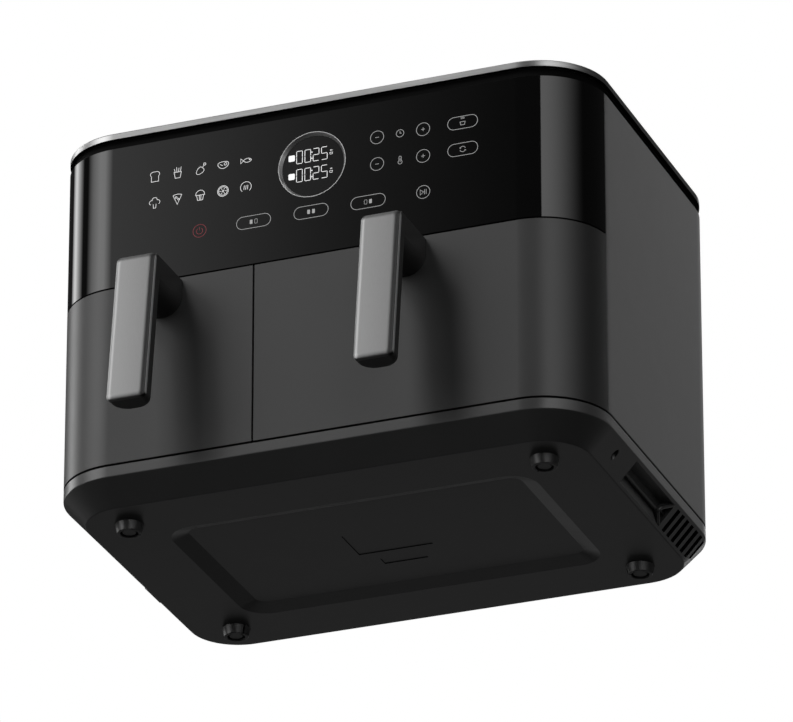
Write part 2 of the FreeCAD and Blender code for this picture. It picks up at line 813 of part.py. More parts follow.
def display():
    """The round display: its ring, lens and lamp module, and the board behind them."""
    skin = front + d.fascia_wall
    lens_y = front + d.lens_sink
    lens_back = lens_y + d.lens_thickness
    bezel = Piece("display_bezel")
    ring = d.display_radius - d.lens_play
    inner = ring - d.bezel_width
    bezel.pad([circle(0, display_z, ring), circle(0, display_z, inner)], front, lens_back, "XZ")

    def inner_edge(edge):
        """Picks the ring's inner edge at the front."""
        box = edge.BoundBox
        return near(box.YMax, front.value) and near(box.XLength, inner.value * 2)

    bezel.bevel(d.lens_sink, d.bezel_slope, inner_edge)
    lens = Piece("display_lens")
    lens.pad([circle(0, display_z, inner - d.lens_play)], lens_y, lens_back, "XZ")
    board_y = skin + d.board_gap
    module = Piece("display_module")
    module.pad([rectangle(-d.module_half_width, d.module_half_width,
                          display_z - d.module_half_height, display_z + d.module_half_height)],
               lens_back + d.module_clearance, board_y, "XZ")
    board = Piece("control_board")
    board.pad([rectangle(-board_half, board_half,
                         fascia_z + d.board_margin, fascia_top - d.board_margin)],
              board_y, board_y + d.board_thickness, "XZ")


def divider():
    """The slab of insulation between the two chambers."""
    slab = Piece("divider")
    half = d.divider_thickness / 2 - d.divider_play
    slab.pad([rectangle(split_x - half, split_x + half, liner_y, liner_back)], liner_z, liner_top)


def liner(side):
    """One cooking chamber, a sheet box open at the front."""
    box = Piece(f"{side.name}_liner")
    wall = d.liner_wall
    box.pad([rectangle(side.liner_x0, side.liner_x1, liner_y, liner_back)], liner_z, liner_top)
    box.cut([rectangle(side.liner_x0 + wall, side.liner_x1 - wall, liner_y - CUT_OVER, liner_back - wall)],
            liner_z + wall, roof)
    holes = [circle(side.mid, chamber_y, d.shaft_radius + d.shaft_hole_play),
             circle(*sensor_spot(side), d.sensor_radius + d.sensor_play)]
    for radius in (side.heater_radius, side.heater_radius - d.heater_spacing):
        holes.append(circle(*terminal_spot(side, radius), d.heater_tube_radius + d.terminal_play))
    box.cut(holes, roof - CUT_OVER, liner_top + CUT_OVER)


def runners(side):
    """The pair of low rails that the basket slides on."""
    pair = Piece(f"{side.name}_runners")
    loops = []
    for x in (side.liner_x0 + d.runner_inset, side.liner_x1 - d.runner_inset):
        loops.append(rectangle(x - d.runner_width / 2, x + d.runner_width / 2,
                               liner_y + d.runner_margin, liner_back - d.liner_wall - d.runner_margin))
    pair.pad(loops, liner_z + d.liner_wall, basket_z - d.runner_play)


def half_gap():
    """Half of the angle that the heater's rings leave open at their terminals."""
    return math.radians(d.heater_gap_degrees.value) / 2


def terminal_spot(side, radius):
    """Where a ring's terminal goes up through the roof: one bend past the ring's end."""
    turn = d.heater_gap_degrees / 2
    along, bend = f"cos({turn.text})", d.heater_bend_radius
    angle = math.radians(turn.value)
    cosine, sine = Size(along, math.cos(angle)), Size(f"sin({turn.text})", math.sin(angle))
    x = side.mid + radius * cosine + bend * sine
    y = chamber_y + radius * sine - bend * cosine
    return x, y


def heater(side):
    """One unbroken heating tube: an outer ring, a turn back, an inner ring and two upright terminals."""
    start, stop = half_gap(), 2 * math.pi - half_gap()
    radii = side.heater_radius.value, (side.heater_radius - d.heater_spacing).value
    bend, tube = d.heater_bend_radius.value, d.heater_tube_radius.value
    level = (roof - d.heater_below_roof).value
    top = (liner_top + d.terminal_rise).value
    centre = FreeCAD.Vector(side.mid.value, chamber_y.value, level)

    def on_ring(radius, angle):
        return centre + FreeCAD.Vector(radius * math.cos(angle), radius * math.sin(angle), 0)

    def ring(radius, first, last):
        middle = (first + last) / 2
        halves = []
        for p, q in ((first, middle), (middle, last)):
            arc = Part.Arc(on_ring(radius, p), on_ring(radius, (p + q) / 2), on_ring(radius, q))
            halves.append(arc.toShape())
        return halves

    def terminal(radius, angle):
        """The straight rise and the bend that leads into a ring, from the top down."""
        back_along = FreeCAD.Vector(math.sin(angle), -math.cos(angle), 0)
        end = on_ring(radius, angle)
        raised = end + back_along * bend + FreeCAD.Vector(0, 0, bend)
        quarter = math.cos(math.pi / 4)
        knee = end + back_along * (bend * quarter) + FreeCAD.Vector(0, 0, bend * (1 - quarter))
        head = FreeCAD.Vector(raised.x, raised.y, top)
        return head, Part.LineSegment(head, raised).toShape(), Part.Arc(raised, knee, end).toShape()

    outer_r, inner_r = radii
    head, rise, knee = terminal(outer_r, start)
    other_head, other_rise, other_knee = terminal(inner_r, start)
    middle_r = (outer_r + inner_r) / 2
    turn_out = on_ring(middle_r, stop) + FreeCAD.Vector(-math.sin(stop), math.cos(stop), 0) * (
        (outer_r - inner_r) / 2)
    turn = Part.Arc(on_ring(outer_r, stop), turn_out, on_ring(inner_r, stop)).toShape()
    edges = [rise, knee] + ring(outer_r, start, stop) + [turn]
    edges += ring(inner_r, stop, start) + [other_knee, other_rise]
    path = Part.Wire(edges)
    section = Part.Wire(Part.makeCircle(tube, head, FreeCAD.Vector(0, 0, 1)))
    coil = doc.addObject("Part::Feature", f"{side.name}_heater")
    coil.Shape = path.makePipeShell([section], True, False)
    expected = math.pi * tube ** 2 * path.Length
    print(f"{side.name} heater: tube {coil.Shape.Volume:.0f} of {expected:.0f} mm3,",
          f"gap between its rings {outer_r - inner_r - 2 * tube:.2f} mm,",
          f"between its terminals {head.distanceToPoint(other_head) - 2 * tube:.2f} mm")
    pieces.append(coil)


def heater_guard(side):
    """The wire screen under the heater, hung from the chamber's roof at its corners."""
    guard = Piece(f"{side.name}_heater_guard")
    x0, x1 = side.liner_x0 + d.liner_wall + d.guard_margin, side.liner_x1 - d.liner_wall - d.guard_margin
    y0, y1 = liner_y + side.guard_end_gap, liner_back - side.guard_end_gap
    level = roof - d.guard_below_roof
    count = int(d.guard_windows.value)
    step_x = (x1 - x0 - d.guard_wire) / count
    step_y = (y1 - y0 - d.guard_wire) / count
    windows = []
    for i in range(count):
        for j in range(count):
            wx, wy = x0 + step_x * i + d.guard_wire, y0 + step_y * j + d.guard_wire
            windows.append(rectangle(wx, wx + step_x - d.guard_wire, wy, wy + step_y - d.guard_wire))
    guard.pad([rectangle(x0, x1, y0, y1)], level, level + d.guard_wire)
    guard.cut(windows, level - CUT_OVER, level + d.guard_wire + CUT_OVER)
    legs = [rectangle(x, x + d.guard_leg, y, y + d.guard_leg)
            for x in (x0, x1 - d.guard_leg) for y in (y0, y1 - d.guard_leg)]
    guard.pad(legs, level, roof)


def motor_z():
    """The height of the motors' seat on their brackets."""
    return liner_top + d.bracket_rise + d.bracket_thickness


def motor_brackets():
    """A round seat on four legs over each chamber."""
    brackets = Piece("motor_brackets")
    seats, legs, bores = [], [], []
    reach = d.bracket_radius - d.bracket_leg_inset
    for side in sides:
        seats.append(circle(side.mid, chamber_y, d.bracket_radius))
        bores.append(circle(side.mid, chamber_y, d.shaft_radius + d.shaft_hole_play))
        for dx, dy in ((1, 0), (0, 1), (-1, 0), (0, -1)):
            legs.append(circle(side.mid + reach * dx, chamber_y + reach * dy, d.bracket_leg_radius))
    brackets.pad(seats, liner_top + d.bracket_rise, motor_z())
    brackets.pad(legs, liner_top, liner_top + d.bracket_rise)
    brackets.cut(bores, liner_top, motor_z() + CUT_OVER)


def motor(side):
    """A fan motor with a bearing boss, bored for its shaft."""
    drive = Piece(f"{side.name}_motor")
    bore = d.shaft_radius + d.bearing_play
    low = motor_z()
    high = low + d.motor_height
    drive.turn((bore, low), (d.motor_radius, low), (d.motor_radius, high), (d.motor_boss_radius, high),
               (d.motor_boss_radius, high + d.motor_boss_height), (bore, high + d.motor_boss_height))
    drive.place(side.mid, chamber_y)


def rotor(side):
    """The spinning group: shaft, hot-air fan with its nut, and the cooling fan on top."""
    fan_z = roof - d.fan_below_roof
    cool_z = motor_z() + d.motor_height + d.motor_boss_height + d.cooling_gap
    cool_top = cool_z + d.cooling_height
    shaft = Piece(f"{side.name}_shaft")
    shaft.pad([circle(0, 0, d.shaft_radius)], fan_z - d.nut_height - d.shaft_tail, cool_top + d.shaft_tail)
    shaft.place(side.mid, chamber_y)

    bore = d.shaft_radius + d.hub_play
    fan = Piece(f"{side.name}_hot_fan")
    hub_top = fan_z + d.fan_blade_height
    fan.turn((bore, fan_z), (side.fan_radius, fan_z), (side.fan_radius, fan_z + d.fan_disc),
             (d.fan_hub_radius, fan_z + d.fan_disc), (d.fan_hub_radius, hub_top), (bore, hub_top))
    half = d.fan_blade_thickness / 2
    fan.pad([rectangle(d.fan_hub_radius - half, side.fan_radius - half, -half, half)], fan_z, hub_top)
    fan.polar(d.fan_blade_count)
    fan.place(side.mid, chamber_y)

    nut = Piece(f"{side.name}_fan_nut")
    angles = [math.radians(ALL_ROUND * i / NUT_SIDES) for i in range(NUT_SIDES)]
    hexagon = outline(*[(d.nut_radius * math.cos(a), d.nut_radius * math.sin(a)) for a in angles])
    nut.pad([hexagon, circle(0, 0, bore)], fan_z - d.nut_height, fan_z)
    nut.place(side.mid, chamber_y)

    cooler = Piece(f"{side.name}_cooling_fan")
    hub = d.cooling_hub_radius
    cooler.turn((bore, cool_z), (hub, cool_z), (hub, cool_top), (bore, cool_top))
    pitch = d.cooling_height / 2
    half = d.cooling_blade_thickness / 2
    blade = outline((-pitch - half, cool_z), (half - pitch, cool_z),
                    (pitch + half, cool_top), (pitch - half, cool_top))
    cooler.pad([blade], hub - d.cooling_blade_thickness * 2, d.cooling_radius, "YZ")
    cooler.polar(d.cooling_blade_count)
    cooler.place(side.mid, chamber_y)


def power_board():
    """The mains board on stand-offs over the wide chamber, with its relay, coil and capacitor."""
    right = sides[1]
    board = Piece("power_board")
    x0 = right.liner_x0 + d.power_board_margin
    x1 = x0 + d.power_board_width
    half = d.power_board_length / 2
    level = liner_top + d.power_board_rise
    top = level + d.board_thickness
    board.pad([rectangle(x0, x1, chamber_y - half, chamber_y + half)], level, top)
    inset = d.standoff_radius * 2
    posts = [circle(x, y, d.standoff_radius) for x in (x0 + inset, x1 - inset)
             for y in (chamber_y - half + inset, chamber_y + half - inset)]
    board.pad(posts, liner_top, level)
    third = d.power_board_length / 3
    middle = (x0 + x1) / 2
    board.pad([circle(middle, chamber_y, d.power_board_width / 4)], top, top + d.power_part_height)
    quarter = d.power_board_width / 4
    blocks = [rectangle(middle - quarter, middle + quarter, y - quarter / 2, y + quarter / 2)
              for y in (chamber_y - third, chamber_y + third)]
    board.pad(blocks, top, top + d.power_part_height / 2)


def sensor_spot(side):
    """Where a chamber's temperature probe goes through the roof."""
    return side.liner_x0 + d.sensor_inset, liner_back - d.sensor_inset


def temperature_sensors():
    """A flanged probe through each chamber's roof."""
    probes = Piece("temperature_sensors")
    spots = [sensor_spot(side) for side in sides]
    probes.pad([circle(x, y, d.sensor_flange_radius) for x, y in spots],
               liner_top, liner_top + d.sensor_flange_height)
    probes.pad([circle(x, y, d.sensor_radius) for x, y in spots], roof - d.sensor_length, liner_top)


def drawer_switches():
    """A sealed magnetic switch over each drawer, on the front frame."""
    switches = Piece("drawer_switches")
    low = fascia_z + d.switch_rise
    half = d.switch_length / 2
    loops = [rectangle(s.mid - half, s.mid + half, frame_y - d.switch_depth, frame_y) for s in sides]
    switches.pad(loops, low, low + d.switch_height)


def drawer_front(side):
    """A drawer's outer front: a hollow shell that wraps round the casing's corner."""
    shell = Piece(f"{side.name}_drawer_front")
    shell.pad([plan()], drawer_z, drawer_top)
    low, high = drawer_z - CUT_OVER, drawer_top + CUT_OVER
    shell.cut([across(wrap, back + CUT_OVER)], low, high)
    other = (side.x1, half_w + CUT_OVER) if side.name == "left" else (-half_w - CUT_OVER, side.x0)
    shell.cut([rectangle(*other, front - CUT_OVER, wrap + CUT_OVER)], low, high)
    shell.cut([drawer_hollow(side, d.drawer_wall)], drawer_z + d.drawer_wall, drawer_top - d.drawer_wall)
    bore = d.handle_screw_radius + d.handle_screw_play
    shell.cut([circle(side.handle_x, z, bore) for z in handle_screw_levels()],
              front - CUT_OVER, front + d.drawer_wall + CUT_OVER, "XZ")


def drawer_hollow(side, inset):
    """The inside of a drawer's front from above: one rounded corner, open to the back."""
    radius = d.corner_radius - inset
    far = back
    if side.name == "left":
        return outline((side.x0 + inset, front + inset, radius), (side.x1 - inset, front + inset),
                       (side.x1 - inset, far), (side.x0 + inset, far))
    return outline((side.x0 + inset, front + inset), (side.x1 - inset, front + inset, radius),
                   (side.x1 - inset, far), (side.x0 + inset, far))


def drawer_cover(side):
    """The flat wall that closes a drawer's front from behind and carries the basket."""
    cover = Piece(f"{side.name}_drawer_cover")
    inset = d.drawer_wall + d.cover_play
    low, high = drawer_z + inset, drawer_top - inset
    cover.pad([drawer_hollow(side, inset)], low, high)
    keep_depth(cover, wrap - d.cover_thickness, wrap, low, high)


def basket_span(side, inset=0):
    """A basket's left and right sides, moved in by an inset."""
    gap = d.liner_wall + d.basket_side_gap + inset
    return side.liner_x0 + gap, side.liner_x1 - gap


def basket(side):
    """The cooking basket: a deep pan with rounded corners and a rolled lip."""
    pan = Piece(f"{side.name}_basket")
    x0, x1 = basket_span(side)
    y1 = liner_back - d.liner_wall - d.basket_back_gap
    pan.pad([rectangle(x0, x1, wrap, y1, d.basket_radius)], basket_z, basket_top)
    lip_x0, lip_x1 = basket_span(side, -d.basket_lip)
    pan.pad([rectangle(lip_x0, lip_x1, wrap, y1 + d.basket_lip, d.basket_radius)],
            basket_top - d.basket_lip, basket_top)
    wall = d.basket_wall
    pan.cut([rectangle(x0 + wall, x1 - wall, wrap + wall, y1 - wall, d.basket_radius - wall)],
            basket_z + wall, basket_top + CUT_OVER)
    pan.round(d.basket_floor_radius - wall, level_edge(basket_z + wall))
    pan.round(d.basket_floor_radius, level_edge(basket_z))


def crisper(side):
    """The perforated plate in the basket, and the silicone bumpers that it stands on."""
    inset = d.basket_wall + d.plate_play
    x0, x1 = basket_span(side, inset)
    y0, y1 = wrap + inset, liner_back - d.liner_wall - d.basket_back_gap - inset
    floor = basket_z + d.basket_wall
    low = floor + d.plate_lift
    high = low + d.plate_thickness
    plate = Piece(f"{side.name}_crisper_plate")
    plate.pad([rectangle(x0, x1, y0, y1, d.basket_radius - inset)], low, high)
    mid_x, plate_y = (x0 + x1) / 2, (y0 + y1) / 2
    columns = int((x1 - x0 - d.plate_hole_margin * 2).value // d.plate_hole_pitch.value)
    rows = int((y1 - y0 - d.plate_hole_margin * 2).value // d.plate_hole_pitch.value)
    slot_x, slot_y = d.plate_slot_length / 2, d.plate_slot_width / 2
    holes = [rectangle(mid_x - slot_x, mid_x + slot_x, plate_y - slot_y, plate_y + slot_y)]
    keep_x, keep_y = (slot_x + d.plate_hole_pitch / 2).value, (slot_y + d.plate_hole_pitch / 2).value
    for i in range(columns + 1):
        for j in range(rows + 1):
            off_x = d.plate_hole_pitch * (i - columns / 2)
            off_y = d.plate_hole_pitch * (j - rows / 2)
            beside_slot = abs(off_x.value) <= keep_x and abs(off_y.value) <= keep_y
            beside_bumper = i in (0, columns) and j in (0, rows)
            if not beside_slot and not beside_bumper:
                holes.append(circle(mid_x + off_x, plate_y + off_y, d.plate_hole_radius))
    plate.cut(holes, low - CUT_OVER, high + CUT_OVER)
    spots = [(x, y) for x in (x0 + d.bumper_inset, x1 - d.bumper_inset)
             for y in (y0 + d.bumper_inset, y1 - d.bumper_inset)]
    plate.cut([circle(x, y, d.bumper_peg_radius + d.bumper_peg_play) for x, y in spots],
              low - CUT_OVER, high + CUT_OVER)
    bumpers = Piece(f"{side.name}_plate_bumpers")
    bumpers.pad([circle(x, y, d.bumper_foot_radius) for x, y in spots], floor + d.bumper_play, low)
    bumpers.pad([circle(x, y, d.bumper_peg_radius) for x, y in spots], low, high)
    bumpers.pad([circle(x, y, d.bumper_cap_radius) for x, y in spots], high, high + d.bumper_cap_height)


def magnet(side):
    """The magnet that tells the switch above that the drawer is shut."""
    block = Piece(f"{side.name}_magnet")
    cover = wrap - d.cover_thickness
    high = drawer_top - d.drawer_wall
    block.pad([rectangle(side.mid - d.magnet_length / 2, side.mid + d.magnet_length / 2,
                         cover - d.magnet_depth, cover)], high - d.magnet_height, high)


def handle_screw_levels():
    """The heights of a handle's two screws."""
    return [handle_top - d.handle_screw_first - d.handle_screw_pitch * i for i in range(2)]


def lean_quad(near_face, thickness):
    """A leaning slab seen from the side, its outer face so far ahead of the drawer at the top."""
    top_y, low_y = front - near_face, front - near_face - d.handle_lean
    low = handle_top - d.handle_drop
    return outline((top_y, handle_top), (low_y, low),
                   (low_y + thickness, low), (top_y + thickness, handle_top))


def handle(side):
    """A handle: a moulded neck and grip, its metal face plate, and the two screws that hold it."""
    x0, x1 = side.handle_x - d.handle_width / 2, side.handle_x + d.handle_width / 2
    back_reach = d.handle_reach - d.handle_plate_thickness
    grip = Piece(f"{side.name}_handle_grip")
    grip.pad([lean_quad(back_reach, d.handle_back_depth)], x0, x1, "YZ")
    rear_top = (front - back_reach + d.handle_back_depth).value

    def rear_edge(edge):
        """Picks the two long edges at the back of the grip."""
        return edge.BoundBox.ZLength > 1 and near(edge.BoundBox.YMax, rear_top)

    grip.round(d.handle_back_radius, rear_edge)
    low = handle_top - d.handle_drop

    def end_edge(edge):
        """Picks the two edges that run back along the grip's lower end."""
        return level_edge(low)(edge) and not near(edge.BoundBox.YMin, edge.BoundBox.YMax)

    grip.round(d.handle_end_radius, end_edge)
    neck_low = handle_top - d.neck_height
    rounding = d.handle_width / 2 - d.neck_round_play
    neck = outline((x0, neck_low, rounding), (x1, neck_low, rounding), (x1, handle_top), (x0, handle_top))
    grip.pad([neck], front - back_reach, front, "XZ")
    levels = handle_screw_levels()
    bore = d.handle_screw_radius + d.handle_screw_play
    grip.cut([circle(side.handle_x, z, bore) for z in levels],
             front - d.handle_screw_bite - d.handle_screw_play, front + CUT_OVER, "XZ")

    plate = Piece(f"{side.name}_handle_plate")
    plate.pad([lean_quad(d.handle_reach, d.handle_plate_thickness)], x0, x1, "YZ")

    def outer_edge(edge):
        """Picks the edges round the plate's outer face."""
        middle = edge.valueAt((edge.FirstParameter + edge.LastParameter) / 2)
        fall = (handle_top.value - middle.z) / d.handle_drop.value
        return near(middle.y, (front - d.handle_reach - d.handle_lean * fall).value)

    plate.round(d.handle_plate_edge, outer_edge)

    screws = Piece(f"{side.name}_handle_screws")
    inner = front + d.drawer_wall
    screws.pad([circle(side.handle_x, z, d.handle_screw_head_radius) for z in levels],
               inner, inner + d.handle_screw_head_height, "XZ")
    screws.pad([circle(side.handle_x, z, d.handle_screw_radius) for z in levels],
               front - d.handle_screw_bite, inner, "XZ")


def check_and_write():
    """Stops if any object failed, then writes one file per piece."""
    doc.recompute()
    for item in doc.Objects:
        if {"Invalid", "Error"} & set(item.State):
            raise RuntimeError(f"{item.Label} did not compute: {item.State}")
    for piece in pieces:
        if piece.Shape.isNull() or not piece.Shape.isValid():
            raise RuntimeError(f"{piece.Label} has no valid shape")
    os.makedirs("parts", exist_ok=True)
    for piece in pieces:
        piece.Shape.exportStep(f"parts/{piece.Label}.step")
    print(f"{len(pieces)} pieces, {sum(len(piece.Shape.Solids) for piece in pieces)} solids")


def build():
    """Makes every piece, the casing first and then each side's chamber, drive and drawer."""
    base_tray()
    feet()
    base_screws()
    side_rear_shell()
    rear_grille()
    cord_gland()
    top_pieces()
    front_frame()
    front_fascia()
    display()
    divider()
    motor_brackets()
    power_board()
    temperature_sensors()
    drawer_switches()
    for side in sides:
        liner(side)
        runners(side)
        heater(side)
        heater_guard(side)
        motor(side)
        rotor(side)
        drawer_front(side)
        drawer_cover(side)
        basket(side)
        crisper(side)
        magnet(side)
        handle(side)
    check_and_write()


build()
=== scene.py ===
"""Looks for a two-drawer air fryer: broken edges, handles, feet, panel symbols, finishes and a studio.

Laid out as an add-on and run as a script. Lengths are metres. Values under a comment that says millimetres
become metres where they are used.
"""
import json
import math

import bmesh
import bpy
from bpy.props import FloatProperty, FloatVectorProperty, IntProperty, PointerProperty
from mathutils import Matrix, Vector


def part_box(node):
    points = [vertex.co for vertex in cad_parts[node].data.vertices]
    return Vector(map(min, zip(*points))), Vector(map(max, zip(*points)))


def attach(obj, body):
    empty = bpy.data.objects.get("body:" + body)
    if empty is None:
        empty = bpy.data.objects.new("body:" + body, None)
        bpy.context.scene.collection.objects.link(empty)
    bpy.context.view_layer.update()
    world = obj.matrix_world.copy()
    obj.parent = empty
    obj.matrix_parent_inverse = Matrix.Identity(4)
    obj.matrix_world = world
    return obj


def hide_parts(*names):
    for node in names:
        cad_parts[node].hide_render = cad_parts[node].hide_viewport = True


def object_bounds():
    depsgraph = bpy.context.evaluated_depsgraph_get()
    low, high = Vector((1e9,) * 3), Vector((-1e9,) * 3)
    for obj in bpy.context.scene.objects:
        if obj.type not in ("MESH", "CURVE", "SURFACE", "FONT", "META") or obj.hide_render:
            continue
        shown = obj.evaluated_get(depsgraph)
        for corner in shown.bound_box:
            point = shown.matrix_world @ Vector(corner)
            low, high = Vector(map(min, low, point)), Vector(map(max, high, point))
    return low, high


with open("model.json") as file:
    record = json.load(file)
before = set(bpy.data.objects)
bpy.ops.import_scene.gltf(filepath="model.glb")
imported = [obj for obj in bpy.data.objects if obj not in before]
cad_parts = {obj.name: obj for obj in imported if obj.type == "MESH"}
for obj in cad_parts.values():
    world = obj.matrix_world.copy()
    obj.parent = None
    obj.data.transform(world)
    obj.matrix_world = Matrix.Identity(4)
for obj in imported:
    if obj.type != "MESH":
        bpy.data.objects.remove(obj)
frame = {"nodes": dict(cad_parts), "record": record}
cad_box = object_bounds()

bl_info = {
    "name": "Air Fryer Finish",
    "version": (1, 0, 0),
    "blender": (4, 5, 0),
    "location": "3D View > Sidebar > Air Fryer",
    "description": "Finishes a two-drawer air fryer and sets up its studio",
    "category": "Object",
}

MM = 0.001
SIDES = ("left", "right")
nodes = frame["nodes"]
record = frame["record"]
slot_of = {part["node"]: part["material_slot"] for part in record["subparts"]}
body_of = {node: body for body, members in record["behaviour"]["bodies"].items() for node in members}
record_colour = {slot["slot"]: tuple(slot["base_color"][:3]) for slot in record["materials"]}


def middle(node):
    """The centre of a CAD node's box."""
    low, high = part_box(node)
    return (low + high) / 2


# Sizes and colours that a user would change

def length(name, description, default):
    """A length property, in metres."""
    return FloatProperty(name=name, description=description, default=default, min=0,
                         unit="LENGTH", precision=5)


def tint(name, description, default):
    """A colour property."""
    return FloatVectorProperty(name=name, description=description, default=default, min=0, max=1,
                               subtype="COLOR", size=3)


class FryerSizes(bpy.types.PropertyGroup):
    """Small shapes that the looks add to the construction."""
    shell_edge: length("Shell edge", "Rounding of the moulded shells' edges", 0.6 * MM)
    base_edge: length("Base edge", "Rounding of the base's outer edges", 0.6 * MM)
    cut_edge: length("Cut edge", "Rounding of the vents' and hand grips' edges", 0.35 * MM)
    label_sink: length("Label sink", "Depth of the bare label seats under the base", 0.45 * MM)
    rib_width: length("Rib width", "Width of the ribs in the hand grips", 2.8 * MM)
    sheet_edge: length("Sheet edge", "Rounding of pressed metal edges", 0.3 * MM)
    rubber_edge: length("Rubber edge", "Rounding of the feet's edges", 0.7 * MM)
    grip_edge: length("Grip edge", "Rounding of the handle grips' edges", 0.8 * MM)
    plate_corner: length("Plate corner", "Corner radius of a handle plate's outline", 3.5 * MM)
    plate_round: length("Plate rounding", "How far a handle plate's face falls back at its edge", 1.9 * MM)
    plate_slope: length("Plate slope", "How far in from its edge a handle plate's face falls back", 3.8 * MM)
    foot_slit: length("Foot slit", "Width of the slit in each foot's ring", 1.2 * MM)
    ink_height: length("Ink height", "How far the symbols stand on the panel", 0.05 * MM)
    line_width: length("Line width", "Stroke of the panel's symbols", 0.36 * MM)
    digit_width: length("Digit stroke", "Stroke of the display's digits", 0.42 * MM)
    guard_wire: length("Guard wire", "Diameter of the wires under the heaters", 2.4 * MM)
    round_steps: IntProperty(name="Round steps", description="Facets in a quarter turn", default=8, min=2)


class FryerColours(bpy.types.PropertyGroup):
    """Colours of the panel's lights and the floor, and one for each finish of the record."""
    symbol: tint("Symbols", "Light of the food symbols", (0.40, 0.40, 0.40))
    key_symbol: tint("Key symbols", "Light of the keys' outlines", (0.17, 0.17, 0.17))
    power: tint("Power symbol", "Light of the power symbol", (0.09, 0.010, 0.014))
    digits: tint("Digits", "Light of the display's digits", (0.48, 0.48, 0.48))
    floor: tint("Floor", "The studio floor", (0.60, 0.60, 0.60))


for slot_name, slot_colour in record_colour.items():
    slot_label = slot_name.replace("_", " ").capitalize()
    FryerColours.__annotations__[slot_name] = tint(slot_label, "Base colour of this finish", slot_colour)


class FryerStudio(bpy.types.PropertyGroup):
    """Where the camera stands and how bright the room is."""
    camera_place: FloatVectorProperty(name="Camera place", description="Where the camera stands",
                                      subtype="TRANSLATION", size=3, default=(1.7155, -4.37445, -2.0889))
    camera_aim: FloatVectorProperty(name="Camera aim", description="The way the camera looks",
                                    subtype="DIRECTION", size=3, default=(-0.3268, 0.8427, 0.4279))
    focal_length: FloatProperty(name="Focal length", description="Lens, in millimetres, on a 36 mm frame",
                                default=337.95, unit="CAMERA")
    room: FloatProperty(name="Room", description="Level of the bare room", default=0.03)
    below: FloatProperty(name="Below", description="Added level just below the horizon", default=0.16)
    dimming: FloatProperty(name="Dimming", description="Share of the room's light kept from dull surfaces",
                           default=0.55)
    floor_size: length("Floor size", "Half the width of the floor", 4.0)


def sizes():
    """The sizes set in this scene."""
    return bpy.context.scene.fryer_sizes


def colour(name):
    """A colour set in this scene."""
    return tuple(getattr(bpy.context.scene.fryer_colours, name))


# Shader maths

class Wire:
    """One output of a node, which takes part in sums as a number does."""

    def __init__(self, graph, socket):
        self.graph = graph
        self.socket = socket

    def _sum(self, operation, first, second):
        return self.graph.node("ShaderNodeMath", {"operation": operation}, {0: first, 1: second})

    def __add__(self, other):
        return self._sum("ADD", self, other)

    def __radd__(self, other):
        return self._sum("ADD", other, self)

    def __sub__(self, other):
        return self._sum("SUBTRACT", self, other)

    def __rsub__(self, other):
        return self._sum("SUBTRACT", other, self)

    def __mul__(self, other):
        return self._sum("MULTIPLY", self, other)

    def __rmul__(self, other):
        return self._sum("MULTIPLY", other, self)

    def __gt__(self, other):
        return self._sum("GREATER_THAN", self, other)

    def ramp(self, start, stop):
        """Rises smoothly from 0 at start to 1 at stop."""
        return self.graph.node("ShaderNodeMapRange", {"interpolation_type": "SMOOTHSTEP"},
                               {"Value": self, "From Min": start, "From Max": stop})

    def slope(self, start, stop):
        """Rises evenly from 0 at start to 1 at stop."""
        return self.graph.node("ShaderNodeMapRange", None,
                               {"Value": self, "From Min": start, "From Max": stop})

    def mix(self, first, second):
        """The first colour where this is 0 and the second where it is 1."""
        return self.graph.node("ShaderNodeMix", {"data_type": "RGBA"},
                               {0: self, 6: as_colour(first), 7: as_colour(second)}, out=2)

    def shades(self, base, darkest, palest):
        """A base colour times a number between two."""
        return self.mix(shade(base, darkest), shade(base, palest))


def as_colour(value):
    """A colour with its alpha, or a wire as it is."""
    return value if isinstance(value, Wire) else (*value[:3], 1.0)


def shade(base, factor):
    """A colour made lighter or darker."""
    return tuple(min(1.0, channel * factor) for channel in base)


def varied(value, spread, noise):
    """A value that a noise from 0 to 1 carries half a spread down and up."""
    return value - spread / 2 + noise * spread


class Graph:
    """A node tree that is written as sums and calls."""

    def __init__(self, tree):
        self.tree = tree
        tree.nodes.clear()

    def node(self, kind, settings=None, sockets=None, out=0):
        """Adds a node: its settings first, then its sockets' values or links."""
        node = self.tree.nodes.new(kind)
        for name, value in (settings or {}).items():
            setattr(node, name, value)
        for key, value in (sockets or {}).items():
            if isinstance(value, Wire):
                self.tree.links.new(value.socket, node.inputs[key])
            else:
                node.inputs[key].default_value = value
        return Wire(self, node.outputs[out]) if node.outputs else None

    def place(self, stretch=None):
        """The point in the object's own frame, stretched along its axes."""
        point = self.node("ShaderNodeTexCoord", out="Object")
        if stretch is None:
            return point
        return self.node("ShaderNodeVectorMath", {"operation": "MULTIPLY"}, {0: point, 1: stretch})

    def split(self, vector):
        """A vector's three numbers."""
        first = self.node("ShaderNodeSeparateXYZ", sockets={0: vector})
        outputs = first.socket.node.outputs
        return [Wire(self, outputs[axis]) for axis in "XYZ"]

    def noise(self, scale, detail=2.0, stretch=None, roughness=0.5):
        """Soft noise with so many features to the metre."""
        return self.node("ShaderNodeTexNoise", None, {"Vector": self.place(stretch), "Scale": scale,
                                                      "Detail": detail, "Roughness": roughness})

    def cells(self, scale, feature="F1", out="Distance"):
        """Cell noise with so many cells to the metre."""
        return self.node("ShaderNodeTexVoronoi", {"feature": feature},
                         {"Vector": self.place(), "Scale": scale}, out=out)

    def bump(self, height, depth):
        """A normal for a relief of so many metres."""
        return self.node("ShaderNodeBump", None, {"Strength": 1.0, "Distance": depth, "Height": height})

    def ray(self, kind):
        """1 where a ray is of a kind, such as Camera, and 0 elsewhere."""
        return self.node("ShaderNodeLightPath", out=f"Is {kind} Ray")


